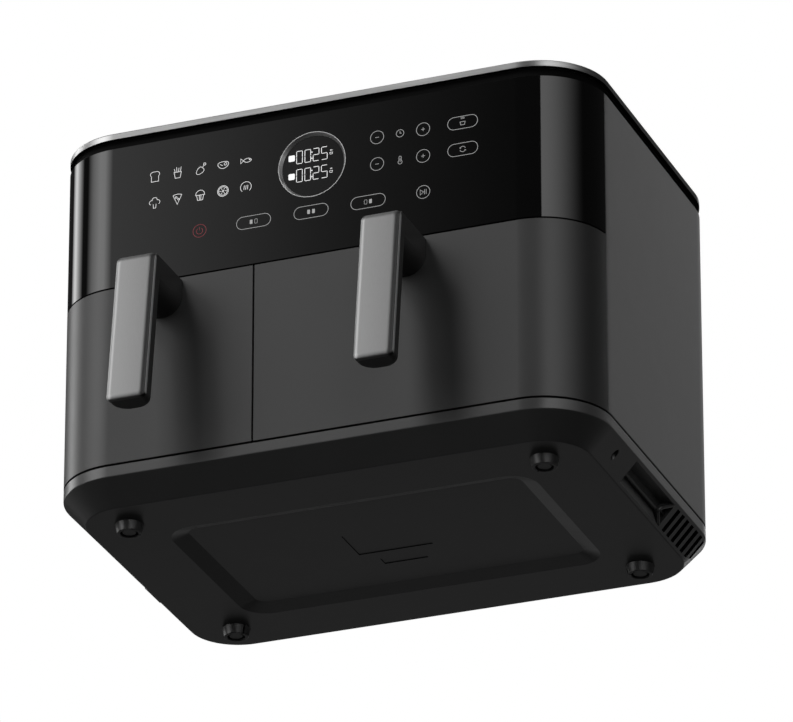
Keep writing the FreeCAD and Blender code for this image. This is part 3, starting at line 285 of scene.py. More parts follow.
class Finish(Graph):
    """A procedural material with one Principled shader."""

    def __init__(self, name):
        self.material = bpy.data.materials.new(name)
        self.material.use_nodes = True
        super().__init__(self.material.node_tree)

    def surface(self, **sockets):
        """Closes the material: socket names are written with underscores."""
        named = {name.replace("_", " ").title().replace("Ior", "IOR"): value
                 for name, value in sockets.items()}
        shader = self.node("ShaderNodeBsdfPrincipled", None, named)
        self.node("ShaderNodeOutputMaterial", None, {"Surface": shader})
        return self.material


# Finishes; noises are given by their features to the metre and their detail

# Features to the metre in the grain of moulded plastic
GRAIN = 900.0
# The base's upright band at both sides, painted paler as painted light, in millimetres: where it begins and
# is full across, and in height
PAINTED_BAND_ACROSS = (178.0, 199.0)
PAINTED_BAND_RISE = (23.4, 24.2)
# Scratches to the metre along each axis
BRUSHED_UPRIGHT = (1600.0, 1600.0, 14.0)
BRUSHED_LEVEL = (14.0, 14.0, 1800.0)
DRAWN_WIRE = (900.0, 900.0, 900.0)


def moulded(name, base, roughness, relief=0.02, specular=0.5):
    """Moulded plastic: spark-eroded grain, its relief in millimetres, faint flow marks and handling haze."""
    f = Finish(name)
    flow = f.noise(7.0, 3.0)
    haze = f.noise(31.0, 4.0, roughness=0.6)
    fine = f.noise(GRAIN, 1.0)
    return f.surface(base_color=(flow * 0.6 + haze * 0.4).shades(base, 0.93, 1.07),
                     roughness=varied(roughness, 0.1, haze),
                     specular_ior_level=specular, normal=f.bump(fine, relief * MM))


def base_plastic_painted_band(name, base, roughness):
    """The base's plastic: moulded, and painted as pale as the shell above it on the upright band at both
    sides, as painted light.
    """
    f = Finish(name)
    haze = f.noise(31.0, 4.0, roughness=0.6)
    fine = f.noise(GRAIN, 1.0)
    x, _, z = f.split(f.place())
    # The upright band at both sides is painted paler: painted light
    across = (x * x).ramp(*((edge * MM) ** 2 for edge in PAINTED_BAND_ACROSS))
    band = across * z.ramp(*(edge * MM for edge in PAINTED_BAND_RISE))
    return f.surface(base_color=band.mix(haze.shades(base, 0.94, 1.06), colour("shell_grey")),
                     roughness=varied(roughness, 0.1, haze), normal=f.bump(fine, 0.004 * MM))


def gloss(name, base, roughness):
    """Polished plastic: deep colour, slight orange peel and dust-fine haze."""
    f = Finish(name)
    peel = f.noise(60.0, 1.0)
    haze = f.noise(18.0, 3.0)
    return f.surface(base_color=haze.shades(base, 0.9, 1.1),
                     roughness=varied(roughness, roughness * 0.4, haze), normal=f.bump(peel, 0.0012 * MM))


def brushed(name, base, roughness, stretch, spread=0.11):
    """Brushed metal: fine scratches along one axis and a soft variation of tone."""
    f = Finish(name)
    scratch = f.noise(1.0, 3.0, stretch, 0.6)
    cloud = f.noise(24.0, 2.0)
    tone = (scratch * 0.7 + cloud * 0.3).shades(base, 1 - spread, 1 + spread)
    return f.surface(base_color=tone, metallic=1.0, roughness=varied(roughness, 0.12, scratch),
                     normal=f.bump(scratch, 0.004 * MM))


def plate_metal_painted_light(name, base, roughness):
    """Brushed metal with painted light: a tone painted to fall from the left to the right, painted shade
    into its rounded edges and ends, and a painted highlight along its right-hand wall.
    """
    f = Finish(name)
    scratch = f.noise(1.0, 3.0, BRUSHED_UPRIGHT, 0.6)
    across, _, up = f.split(f.node("ShaderNodeTexCoord", out="Generated"))
    # Painted light: a painted highlight on the right-hand wall, painted shade into the right and left
    # roundings and at both ends
    painted_light_wall = across.ramp(0.985, 0.995)
    right = across.ramp(0.81, 0.97) * (1 - painted_light_wall)
    left = 1 - across.ramp(0.0, 0.1)
    ends = (1 - up.ramp(0.0, 0.04)) + up.ramp(0.96, 1.0)
    # A painted fall-off from the left to the right and the painted highlight, with the real scratches
    painted_fall_and_scratch = 1.08 - across * 0.3 + painted_light_wall * 2.2 + scratch * 0.16
    tone = painted_fall_and_scratch * (1 - right * 0.84) * (1 - left * 0.3) * (1 - ends * 0.6)
    room = 0.3  # a mix ends at 1, and this leaves room for tones above it
    return f.surface(base_color=(tone * room).mix((0, 0, 0), shade(base, 1 / room)), metallic=1.0,
                     roughness=varied(roughness, 0.12, scratch), normal=f.bump(scratch, 0.004 * MM))


def sheet_metal(name, base, roughness):
    """Plated sheet: pale crystal spangle with rolling lines."""
    f = Finish(name)
    spangle = f.cells(140.0, out="Color")
    grey = f.node("ShaderNodeSeparateColor", None, {0: spangle})
    roll = f.noise(1.0, 2.0, (30.0, 1400.0, 1400.0))
    return f.surface(base_color=(grey * 0.55 + roll * 0.45).shades(base, 0.82, 1.12), metallic=1.0,
                     roughness=varied(roughness, 0.16, grey), normal=f.bump(roll, 0.003 * MM))


def heat_stained(name, base):
    """A heating tube's sheath: dull steel with straw and blue stains."""
    f = Finish(name)
    stain = f.noise(45.0, 3.0)
    fine = f.noise(1600.0, 2.0)
    red, green, blue = base
    straw = stain.ramp(0.42, 0.58).mix(base, (red * 1.25, green, blue * 0.72))
    stained = stain.ramp(0.60, 0.72).mix(straw, (red * 0.6, green * 0.7, blue * 1.05))
    return f.surface(base_color=stained, metallic=0.9, roughness=0.38 + fine * 0.16,
                     normal=f.bump(fine, 0.01 * MM))


def non_stick(name, base):
    """A sprayed non-stick coat: orange peel with a faint pale speckle."""
    f = Finish(name)
    peel = f.noise(420.0, 2.0)
    speck = 1.0 - f.cells(520.0).ramp(0.10, 0.22)
    patch = f.noise(14.0, 3.0)
    return f.surface(base_color=(speck * 0.5 + patch * 0.25).shades(base, 0.9, 2.6),
                     roughness=0.36 + peel * 0.14, normal=f.bump(peel, 0.03 * MM))


def rubber(name, base, roughness):
    """Moulded rubber: dull, with a pitted skin."""
    f = Finish(name)
    pits = f.cells(1300.0)
    bloom = f.noise(60.0, 3.0)
    return f.surface(base_color=bloom.shades(base, 0.85, 1.25), roughness=varied(roughness, 0.12, bloom),
                     normal=f.bump(pits, 0.015 * MM))


def laminated(name, base):
    """A motor's stack of punched laminations in dull paint."""
    f = Finish(name)
    height = f.split(f.place())[2]
    lamination = 1.2 * MM
    layer = f.node("ShaderNodeMath", {"operation": "SINE"}, {0: height * (2 * math.pi / lamination)})
    dust = f.noise(80.0, 3.0)
    return f.surface(base_color=(layer * 0.25 + dust * 0.5 + 0.25).shades(base, 0.7, 1.2), metallic=0.6,
                     roughness=0.4 + dust * 0.2, normal=f.bump(layer, 0.06 * MM))


def fibre(name, base):
    """Pressed mineral wool: matted fibres and darker clumps."""
    f = Finish(name)
    strand = f.noise(1.0, 4.0, (300.0, 2400.0, 500.0), 0.7)
    clump = f.noise(70.0, 3.0)
    return f.surface(base_color=(strand * 0.6 + clump * 0.4).shades(base, 0.7, 1.15), roughness=0.95,
                     specular_ior_level=0.2, normal=f.bump(strand, 0.3 * MM))


def circuit(name, base):
    """A circuit board: solder resist over copper tracks, with bright pads."""
    f = Finish(name)
    track = f.cells(190.0, "DISTANCE_TO_EDGE").ramp(0.05, 0.07)
    pad = 1.0 - f.cells(150.0).ramp(0.16, 0.19)
    weave = f.noise(1800.0, 1.0)
    solder = (0.62, 0.60, 0.55)
    return f.surface(base_color=pad.mix(track.shades(base, 1.9, 1.0), solder), metallic=pad * 0.9,
                     roughness=0.3 + weave * 0.12, normal=f.bump(track, 0.02 * MM))


def lit(name, glow):
    """Lit ink: an even glow with the faint density changes of printing."""
    f = Finish(name)
    shown = f.noise(900.0, 2.0).shades(glow, 0.92, 1.06)
    return f.surface(base_color=shown, roughness=0.5, emission_color=shown, emission_strength=1.0)


# How the finish of each slot of the record and of each of the panel's lights is made
FINISHES = {
    "shell_grey": (moulded, {"roughness": 0.50, "relief": 0.008}),
    "drawer_grey": (moulded, {"roughness": 0.36, "relief": 0.004, "specular": 0.34}),
    "base_grey": (base_plastic_painted_band, {"roughness": 0.30}),
    "panel_black": (gloss, {"roughness": 0.05}),
    "lens_black": (gloss, {"roughness": 0.10}),
    "ring_silver": (brushed, {"roughness": 0.30, "stretch": BRUSHED_LEVEL}),
    "rim_silver": (brushed, {"roughness": 0.34, "stretch": BRUSHED_LEVEL, "spread": 0.45}),
    "top_dark": (moulded, {"roughness": 0.42}),
    # inner_dark is also painted, as painted shade, under the lid rim, in the vents, round the label seats
    # and at the handle grips' ends
    "inner_dark": (moulded, {"roughness": 0.75, "specular": 0.05}),
    "rubber_black": (rubber, {"roughness": 0.36}),
    "silicone": (rubber, {"roughness": 0.55}),
    "chamber_steel": (sheet_metal, {"roughness": 0.32}),
    "drive_steel": (brushed, {"roughness": 0.36, "stretch": BRUSHED_LEVEL}),
    "heater_sheath": (heat_stained, {}),
    "guard_wire": (brushed, {"roughness": 0.20, "stretch": DRAWN_WIRE}),
    "fan_alloy": (sheet_metal, {"roughness": 0.36}),
    "fan_plastic": (moulded, {"roughness": 0.45}),
    "motor_case": (laminated, {}),
    "wool_board": (fibre, {}),
    "non_stick": (non_stick, {}),
    "circuit_green": (circuit, {}),
    "module_white": (moulded, {"roughness": 0.40}),
    # switch_black is also painted, as painted shade, on the hand grips' ledges
    "switch_black": (moulded, {"roughness": 0.50}),
    "magnet_grey": (moulded, {"roughness": 0.60, "relief": 0.05}),
    "handle_metal": (plate_metal_painted_light, {"roughness": 0.42}),
    "handle_dark": (moulded, {"roughness": 0.42}),
    "symbol": (lit, {}),
    "key_symbol": (lit, {}),
    "power": (lit, {}),
    "digits": (lit, {}),
}
MADE = "_made"
# How much paler than the base the hand grips' inner walls are painted, as painted light where they lie in
# shade
GRIP_WALL_PAINTED_LIGHT = 3.2


def make_finishes():
    """Makes every finish, and a paler copy of the base's for the hand grips' inner walls, painted light
    where they lie in shade.
    """
    for name, (make, settings) in FINISHES.items():
        make(name + MADE, colour(name), **settings)
    moulded("grip_wall_painted_light" + MADE, shade(colour("base_grey"), GRIP_WALL_PAINTED_LIGHT), roughness=0.50)


def finish(name):
    """A finish by its name; all are made when the first is asked for."""
    if not bpy.data.materials.get(name + MADE):
        make_finishes()
    return bpy.data.materials[name + MADE]


# Making pieces

# How close points are that become one, and heights that are the same
WELD = 1e-6
LEVEL_SLACK = 1e-5
# Turns between faces: below the first they are one face, above the second an edge is rounded, and above the
# others it stays a crease in the shading
FLAT = math.radians(0.4)
SHARP = math.radians(25)
CREASE = math.radians(24)
FINE_CREASE = math.radians(14)
# Facets across a rounded edge
EDGE_STEPS = 4
# Shares of a normal: more than the first along the axis that a face looks straight along, and less than the
# second along the upright axis where a face is steep
STRAIGHT = 0.99
STEEP = 0.5


def link_piece(name, bm, body, material, stands_for=(), crease=CREASE):
    """Turns a bmesh into a piece that rides on a body."""
    bmesh.ops.recalc_face_normals(bm, faces=bm.faces)
    mesh = bpy.data.meshes.new(name)
    bm.to_mesh(mesh)
    bm.free()
    copied = mesh.attributes.get("custom_normal")
    if copied:
        mesh.attributes.remove(copied)
    piece = bpy.data.objects.new(name, mesh)
    bpy.context.scene.collection.objects.link(piece)
    mesh.materials.append(material)
    mesh.polygons.foreach_set("use_smooth", [True] * len(mesh.polygons))
    mesh.set_sharp_from_angle(angle=crease)
    weigh = piece.modifiers.new("Flat faces", "WEIGHTED_NORMAL")
    weigh.keep_sharp = True
    weigh.weight = 100
    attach(piece, body)
    if stands_for:
        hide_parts(*stands_for)
    return piece


def in_place(node, bm, ending="edged", crease=CREASE):
    """Puts a shape in a CAD piece's place, on its body and with its finish."""
    slot = slot_of[node]
    return link_piece(f"{node}_{ending}", bm, body_of[node], finish(slot), [node], crease)


def keep(*names):
    """Gives CAD nodes whose shapes are right the finish of their slot."""
    for name in names:
        for material_slot in nodes[name].material_slots:
            material_slot.material = finish(slot_of[name])


def keep_both(*endings):
    """Keeps the left and the right node of each of these."""
    keep(*(f"{side}_{ending}" for ending in endings for side in SIDES))


def always(edge):
    """Takes every edge."""
    return True


def at_level(*levels):
    """Takes edges that lie flat at one of these heights."""
    return lambda edge: any(all(abs(v.co.z - level) < LEVEL_SLACK for v in edge.verts) for level in levels)


def cleaned(node):
    """A copy of a CAD piece with its flat faces made whole."""
    bm = bmesh.new()
    bm.from_mesh(nodes[node].data)
    bmesh.ops.remove_doubles(bm, verts=bm.verts, dist=WELD)
    bmesh.ops.dissolve_limit(bm, angle_limit=FLAT, verts=bm.verts, edges=bm.edges)
    for edge in bm.edges:
        edge.smooth = True
    return bm


def soften(bm, width, takes=always, clamp=True):
    """Rounds the sharp edges that a test takes."""
    taken = [edge for edge in bm.edges if len(edge.link_faces) == 2 and edge.calc_face_angle() > SHARP
             and takes(edge)]
    bmesh.ops.bevel(bm, geom=taken, offset=width, offset_type="OFFSET", segments=EDGE_STEPS, profile=0.5,
                    affect="EDGES", clamp_overlap=clamp)


def edged(node, width, takes=always):
    """A copy of a CAD piece with its sharp edges rounded, in that piece's place."""
    bm = cleaned(node)
    soften(bm, width, takes)
    return in_place(node, bm)


def paint_light_or_shade(piece, takes, name="inner_dark"):
    """Gives the faces that a test takes another finish, as painted light or shade; by default the near-black
    inner_dark, as painted shade.
    """
    piece.data.materials.append(finish(name))
    place = len(piece.data.materials) - 1
    for face in piece.data.polygons:
        if takes(face):
            face.material_index = place


def eased(points, rounds=2):
    """A path with its corners cut off, more than once, so that it bends smoothly."""
    for _ in range(rounds):
        cut = [points[0]]
        for here, there in zip(points, points[1:]):
            cut += [here.lerp(there, 0.25), here.lerp(there, 0.75)]
        points = cut + [points[-1]]
    return points


def skinned(bm, loops):
    """Joins loops of as many vertices, each to the next, and shuts both ends."""
    for here, there in zip(loops, loops[1:]):
        for j in range(len(here)):
            bm.faces.new((here[j - 1], here[j], there[j], there[j - 1]))
    bm.faces.new(loops[0])
    bm.faces.new(loops[-1])


def swept(bm, path, out, profile):
    """Carries a closed profile of (across, out) points along a path and shuts both ends."""
    loops = []
    for i, point in enumerate(path):
        along = (path[min(i + 1, len(path) - 1)] - path[max(i - 1, 0)]).normalized()
        across = along.cross(out).normalized()
        upright = across.cross(along)
        loops.append([bm.verts.new(point + across * u + upright * v) for u, v in profile])
    skinned(bm, loops)


def turned(bm, centre, profile, start, stop, steps):
    """Turns a closed loop of (radius, height) points about an upright axis; part turns get flat ends."""
    whole = math.isclose(stop - start, 2 * math.pi)
    count = steps if whole else steps + 1
    rings = []
    for i in range(count):
        angle = start + (stop - start) * i / steps
        rings.append([bm.verts.new((centre.x + r * math.cos(angle), centre.y + r * math.sin(angle), z))
                      for r, z in profile])
    for i in range(steps):
        here, there = rings[i], rings[(i + 1) % count]
        for j in range(len(profile)):
            k = (j + 1) % len(profile)
            bm.faces.new((here[j], here[k], there[k], there[j]))
    if not whole:
        bm.faces.new(rings[0])
        bm.faces.new(rings[-1])


def rounded(x, z, width, height, radius, steps=6):
    """Points round an upright rectangle with rounded corners."""
    points = []
    for corner in range(4):
        corner_x = x + (width / 2 - radius) * (1, -1, -1, 1)[corner]
        corner_z = z + (height / 2 - radius) * (1, 1, -1, -1)[corner]
        points += arc(corner_x, corner_z, radius, 90 * corner, 90 * corner + 90, steps)
    return points


def arc(x, z, radius, start, stop, steps=18):
    """Points along an arc between two angles in degrees."""
    angles = [math.radians(start + (stop - start) * i / steps) for i in range(steps + 1)]
    return [(x + radius * math.cos(a), z + radius * math.sin(a)) for a in angles]


def ring(x, z, radius, steps=28):
    """Points round a whole circle."""
    return arc(x, z, radius, 0, 360 - 360 / steps, steps - 1)


# Panel symbols: strokes drawn in a square from -1 to 1

def line(*points):
    """A stroke with two ends."""
    return list(points), False


def loop(points):
    """A stroke that closes."""
    return points, True


def bread():
    crust = arc(0.33, 0.38, 0.45, -50, 90) + arc(-0.33, 0.38, 0.45, 90, 230)
    return [loop(crust + [(-0.62, -0.9), (0.62, -0.9)])]


def fries():
    cup = [(-0.62, 0.1), (0.62, 0.1), (0.42, -0.95), (-0.42, -0.95)]
    tops = ((-0.45, 0.7), (-0.15, 0.95), (0.15, 0.8), (0.45, 0.95))
    return [loop(cup)] + [line((x, 0.1), (x * 1.3, top)) for x, top in tops]


def drumstick():
    turns = [math.radians(angle) for angle in range(0, 360, 15)]
    meat = [(-0.25 + 0.7 * math.cos(a) - 0.12 * math.cos(2 * a), -0.25 + 0.55 * math.sin(a)) for a in turns]
    lean = math.radians(42)
    cosine, sine = math.cos(lean), math.sin(lean)
    leaning = [(x * cosine - z * sine, x * sine + z * cosine) for x, z in meat]
    return [loop(leaning), line((0.38, 0.2), (0.62, 0.52)), loop(ring(0.72, 0.68, 0.2, 12))]


def steak():
    turns = [2 * math.pi * i / 28 for i in range(28)]
    rim = [(0.92 * math.cos(a), 0.6 * math.sin(a) + 0.18 * math.cos(a) ** 2 - 0.1) for a in turns]
    return [loop(rim), loop(ring(0.38, 0.05, 0.22, 14)), line((-0.55, 0.1), (-0.1, -0.2))]


def fish():
    body = arc(0.25, -0.5, 0.85, 36, 144) + arc(0.25, 0.5, 0.85, 216, 324)
    tail = [(-0.42, 0), (-0.92, 0.42), (-0.92, -0.42)]
    return [loop(body), loop(tail), loop(ring(0.6, 0.08, 0.07, 8))]


def broccoli():
    head = arc(0.5, 0.1, 0.4, -60, 100) + arc(0.0, 0.5, 0.45, 20, 160) + arc(-0.5, 0.1, 0.4, 80, 240)
    return [line(*head), line((-0.25, -0.2), (-0.2, -0.9), (0.2, -0.9), (0.25, -0.2))]


def pizza():
    wedge = arc(0, -0.9, 1.75, 65, 115) + [(0, -0.95)]
    return [loop(wedge), loop(ring(-0.2, 0.3, 0.15, 10)), loop(ring(0.18, -0.05, 0.15, 10))]


def muffin():
    top = arc(0, 0.1, 0.75, 0, 180) + [(-0.75, 0), (0.75, 0)]
    cup = line((-0.62, 0), (-0.42, -0.9), (0.42, -0.9), (0.62, 0))
    return [loop(top), cup, line((-0.15, 0), (-0.1, -0.9)), line((0.15, 0), (0.1, -0.9))]


def citrus():
    turns = [math.radians(angle) for angle in range(0, 360, 60)]
    spokes = [[(r * math.cos(a), r * math.sin(a)) for r in (0.3, 0.62)] for a in turns]
    rings = [ring(0, 0, 0.92), ring(0, 0, 0.74), ring(0, 0, 0.14, 8)]
    return [loop(points) for points in rings] + [line(*points) for points in spokes]


def warm_air():
    waves = [line((x - 0.05, -0.45), (x + 0.05, 0.3)) for x in (-0.3, 0.0, 0.3)]
    return [line(*arc(0, 0, 0.92, -48, 228, 26))] + waves


def minus():
    return [loop(ring(0, 0, 1)), line((-0.28, 0), (0.28, 0))]


def plus():
    return minus() + [line((0, -0.28), (0, 0.28))]


def clock():
    return [loop(ring(0, 0, 0.9)), line((0, 0.5), (0, 0), (0.38, 0))]


def thermometer():
    glass = arc(0, -0.52, 0.48, 125, 415) + arc(0, 0.68, 0.27, 0, 180)
    return [loop(glass), line((0, -0.52), (0, 0.4))]


def play_pause():
    bars = [line((x, -0.38), (x, 0.38)) for x in (0.2, 0.45)]
    return [loop(ring(0, 0, 1)), loop([(-0.45, -0.4), (-0.45, 0.4), (0.05, 0)])] + bars


def power_sign():
    return [loop(ring(0, 0, 1)), line(*arc(0, -0.03, 0.48, 125, 415)), line((0, 0.1), (0, 0.55))]


def shake():
    basket = [(-0.55, 0.15), (-0.4, -0.55), (0.4, -0.55), (0.55, 0.15)]
    return [loop(basket), line(*arc(0, 0.2, 0.7, 60, 120)), line(*arc(0, 0.2, 0.95, 62, 118))]


def turn_about():
    arrows = []
    for start in (20, 200):
        bend = arc(0, 0, 0.6, start, start + 130)
        arrows += [line(*bend), loop(ring(*bend[-1], 0.13, 3))]
    return arrows


FOOD_SIGNS = ((bread, fries, drumstick, steak, fish), (broccoli, pizza, muffin, citrus, warm_air))
# Ends of the seven bars in a digit that is 1 wide and 2 high, and the bars of each figure
SEGMENTS = {"a": ((0, 2), (1, 2)), "b": ((1, 2), (1, 1)), "c": ((1, 1), (1, 0)), "d": ((0, 0), (1, 0)),
            "e": ((0, 1), (0, 0)), "f": ((0, 2), (0, 1)), "g": ((0, 1), (1, 1))}
DIGIT_BARS = {"0": "abcdef", "2": "abged", "5": "afgcd"}


class Ink:
    """Thin strokes and patches on an upright face, drawn in metres about a centre."""
    # Share of the ink's height that lies in the face, the least cosine that a stroke's corners are widened
    # by, and the gap at a bar's ends as a share of its stroke
    SUNK = 0.25
    LEAST_COSINE = 0.6
    BAR_GAP = 0.6

    def __init__(self, centre, height):
        self.bm = bmesh.new()
        self.centre = centre
        self.depths = (centre.y - height, centre.y + height * self.SUNK)

    def column(self, x, z):
        """A point's two vertices, outer and inner."""
        return [self.bm.verts.new((self.centre.x + x, y, self.centre.z + z)) for y in self.depths]

    def stroke(self, points, width, closes):
        """A band of even width along a line or a loop."""
        count = len(points)
        columns = []
        for i, point in enumerate(points):
            behind = points[i - 1] if i or closes else point
            ahead = points[(i + 1) % count] if i + 1 < count or closes else point
            first = (Vector(point) - Vector(behind)).normalized()
            second = (Vector(ahead) - Vector(point)).normalized()
            along = (first + second).normalized()
            cosine = along.dot(second) if second.length else along.dot(first)
            across = Vector((-along.y, along.x)) * (width / 2 / max(self.LEAST_COSINE, cosine))
            outer_left, inner_left = self.column(*(Vector(point) + across))
            outer_right, inner_right = self.column(*(Vector(point) - across))
            columns.append((outer_left, outer_right, inner_right, inner_left))
        for i in range(count if closes else count - 1):
            here, there = columns[i], columns[(i + 1) % count]
            for j in range(4):
                k = (j + 1) % 4
                self.bm.faces.new((here[j], here[k], there[k], there[j]))
        if not closes:
            self.bm.faces.new(columns[0])
            self.bm.faces.new(columns[-1])

    def sign(self, strokes, x, z, half, width):
        """Strokes of a sign, scaled to its half width."""
        for points, closes in strokes:
            self.stroke([(x + px * half, z + pz * half) for px, pz in points], width, closes)

    def patch(self, points):
        """A filled outline."""
        columns = [self.column(*point) for point in points]
        self.bm.faces.new([outer for outer, inner in columns])
        self.bm.faces.new([inner for outer, inner in columns])
        for i, (outer, inner) in enumerate(columns):
            last_outer, last_inner = columns[i - 1]
            self.bm.faces.new((last_outer, outer, inner, last_inner))

    def digit(self, figure, x, z, width, height, stroke):
        """A seven-bar digit about its centre, with a gap between bars."""
        for bar in DIGIT_BARS[figure]:
            ends = [(x + (px - 0.5) * width, z + (pz - 1) * height / 2) for px, pz in SEGMENTS[bar]]
            start, stop = (Vector(end) for end in ends)
            gap = (stop - start).normalized() * stroke * self.BAR_GAP
            self.stroke([start + gap, stop - gap], stroke, False)


# Operators

class BaseShape:
    """The base's heights and slope, read from its CAD piece, and tests of its edges and faces."""
    # In millimetres: how far back the sides are flat; where the vents begin, end and reach in to; where the
    # hand grips' ledges begin and how high they lie
    FLAT_TO = 121.0
    VENTS = (75.0, 139.0, 185.0)
    LEDGE = (185.0, 16.1)
    # The largest turn at the outline's edges, the cosine at which a face lies in the taper, and how little a
    # face's slope may differ from the taper's to be like it
    OUTLINE_ANGLE = math.radians(60)
    IN_TAPER = 0.999
    LIKE_TAPER = 0.1

    def __init__(self, s):
        mesh = nodes["base_tray"].data
        low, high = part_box("base_tray")
        self.low, self.half = low.z, high.x
        self.cut_edge, self.label_sink = s.cut_edge, s.label_sink
        self.band_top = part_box("front_frame")[0].z
        self.band_low = min(v.co.z for v in mesh.vertices if v.co.x > self.half - LEVEL_SLACK)
        self.taper_in = max(v.co.x for v in mesh.vertices if abs(v.co.z - self.low) < LEVEL_SLACK)
        self.out = Vector((self.band_low - self.low, 0, self.taper_in - self.half)).normalized()
        self.panel = self.panel_level(mesh)
        self.vent_start, self.vent_stop, self.vent_in = (value * MM for value in self.VENTS)
        self.ledge_in, self.ledge_top = (value * MM for value in self.LEDGE)
        self.wall_in = min(abs(v.co.x) for v in mesh.vertices
                           if abs(v.co.z - self.ledge_top) < LEVEL_SLACK and abs(v.co.x) > self.ledge_in)

    def panel_level(self, mesh):
        """The height of the sunken panel, the largest face that looks down from above the base's lowest."""
        areas = {}
        for face in mesh.polygons:
            level = round(face.center.z, 5)
            if face.normal.z < -STRAIGHT and level > self.low + LEVEL_SLACK:
                areas[level] = areas.get(level, 0) + face.area
        return max(areas, key=areas.get)

    def on_taper(self, face):
        """Takes faces of a tapered side."""
        return self.out.dot((abs(face.normal.x), face.normal.y, face.normal.z)) > self.IN_TAPER

    def outer(self, edge):
        """Takes edges of the outline: where the taper begins and ends, and the top of the upright band."""
        if at_level(self.low, self.band_low)(edge):
            return edge.calc_face_angle() < self.OUTLINE_ANGLE
        walls = [face for face in edge.link_faces
                 if abs(min(v.co.z for v in face.verts) - self.band_low) < LEVEL_SLACK]
        return at_level(self.band_top)(edge) and bool(walls)

    def cut(self, edge):
        """Takes edges that a vent or a hand grip cuts in a tapered side."""
        flat = all(v.co.y < self.FLAT_TO * MM for v in edge.verts)
        return flat and [self.on_taper(face) for face in edge.link_faces].count(True) == 1

    def painted_shade_hollow(self, face):
        """Takes faces inside the vents and round the label seats, which are painted near-black as painted
        shade.
        """
        x, y, z = abs(face.center.x), face.center.y, face.center.z
        inside = self.out.dot((self.half, 0, self.band_low)) - self.out.dot((x, 0, z)) > 2 * self.cut_edge
        tapered = abs(face.normal.z - self.out.z) < self.LIKE_TAPER
        in_vents = self.vent_start < y < self.vent_stop and x > self.vent_in and z < self.band_low
        by_seat = self.panel < z < self.panel + self.label_sink and x < self.taper_in / 2
        return (inside and not tapered and in_vents) or (abs(face.normal.z) < STEEP and by_seat)

    def painted_shade_ledge(self, face):
        """Takes the ledges in the hand grips, which are painted darker as painted shade."""
        at_ledge = abs(face.center.x) > self.ledge_in and abs(face.center.z - self.ledge_top) < LEVEL_SLACK
        return face.normal.z < -STRAIGHT and at_ledge

    def painted_light_wall(self, face):
        """Takes the inner walls of the hand grips, which are painted paler as painted light."""
        at_wall = abs(abs(face.center.x) - self.wall_in) < LEVEL_SLACK and face.center.y < self.vent_start
        return abs(face.normal.x) > STRAIGHT and at_wall


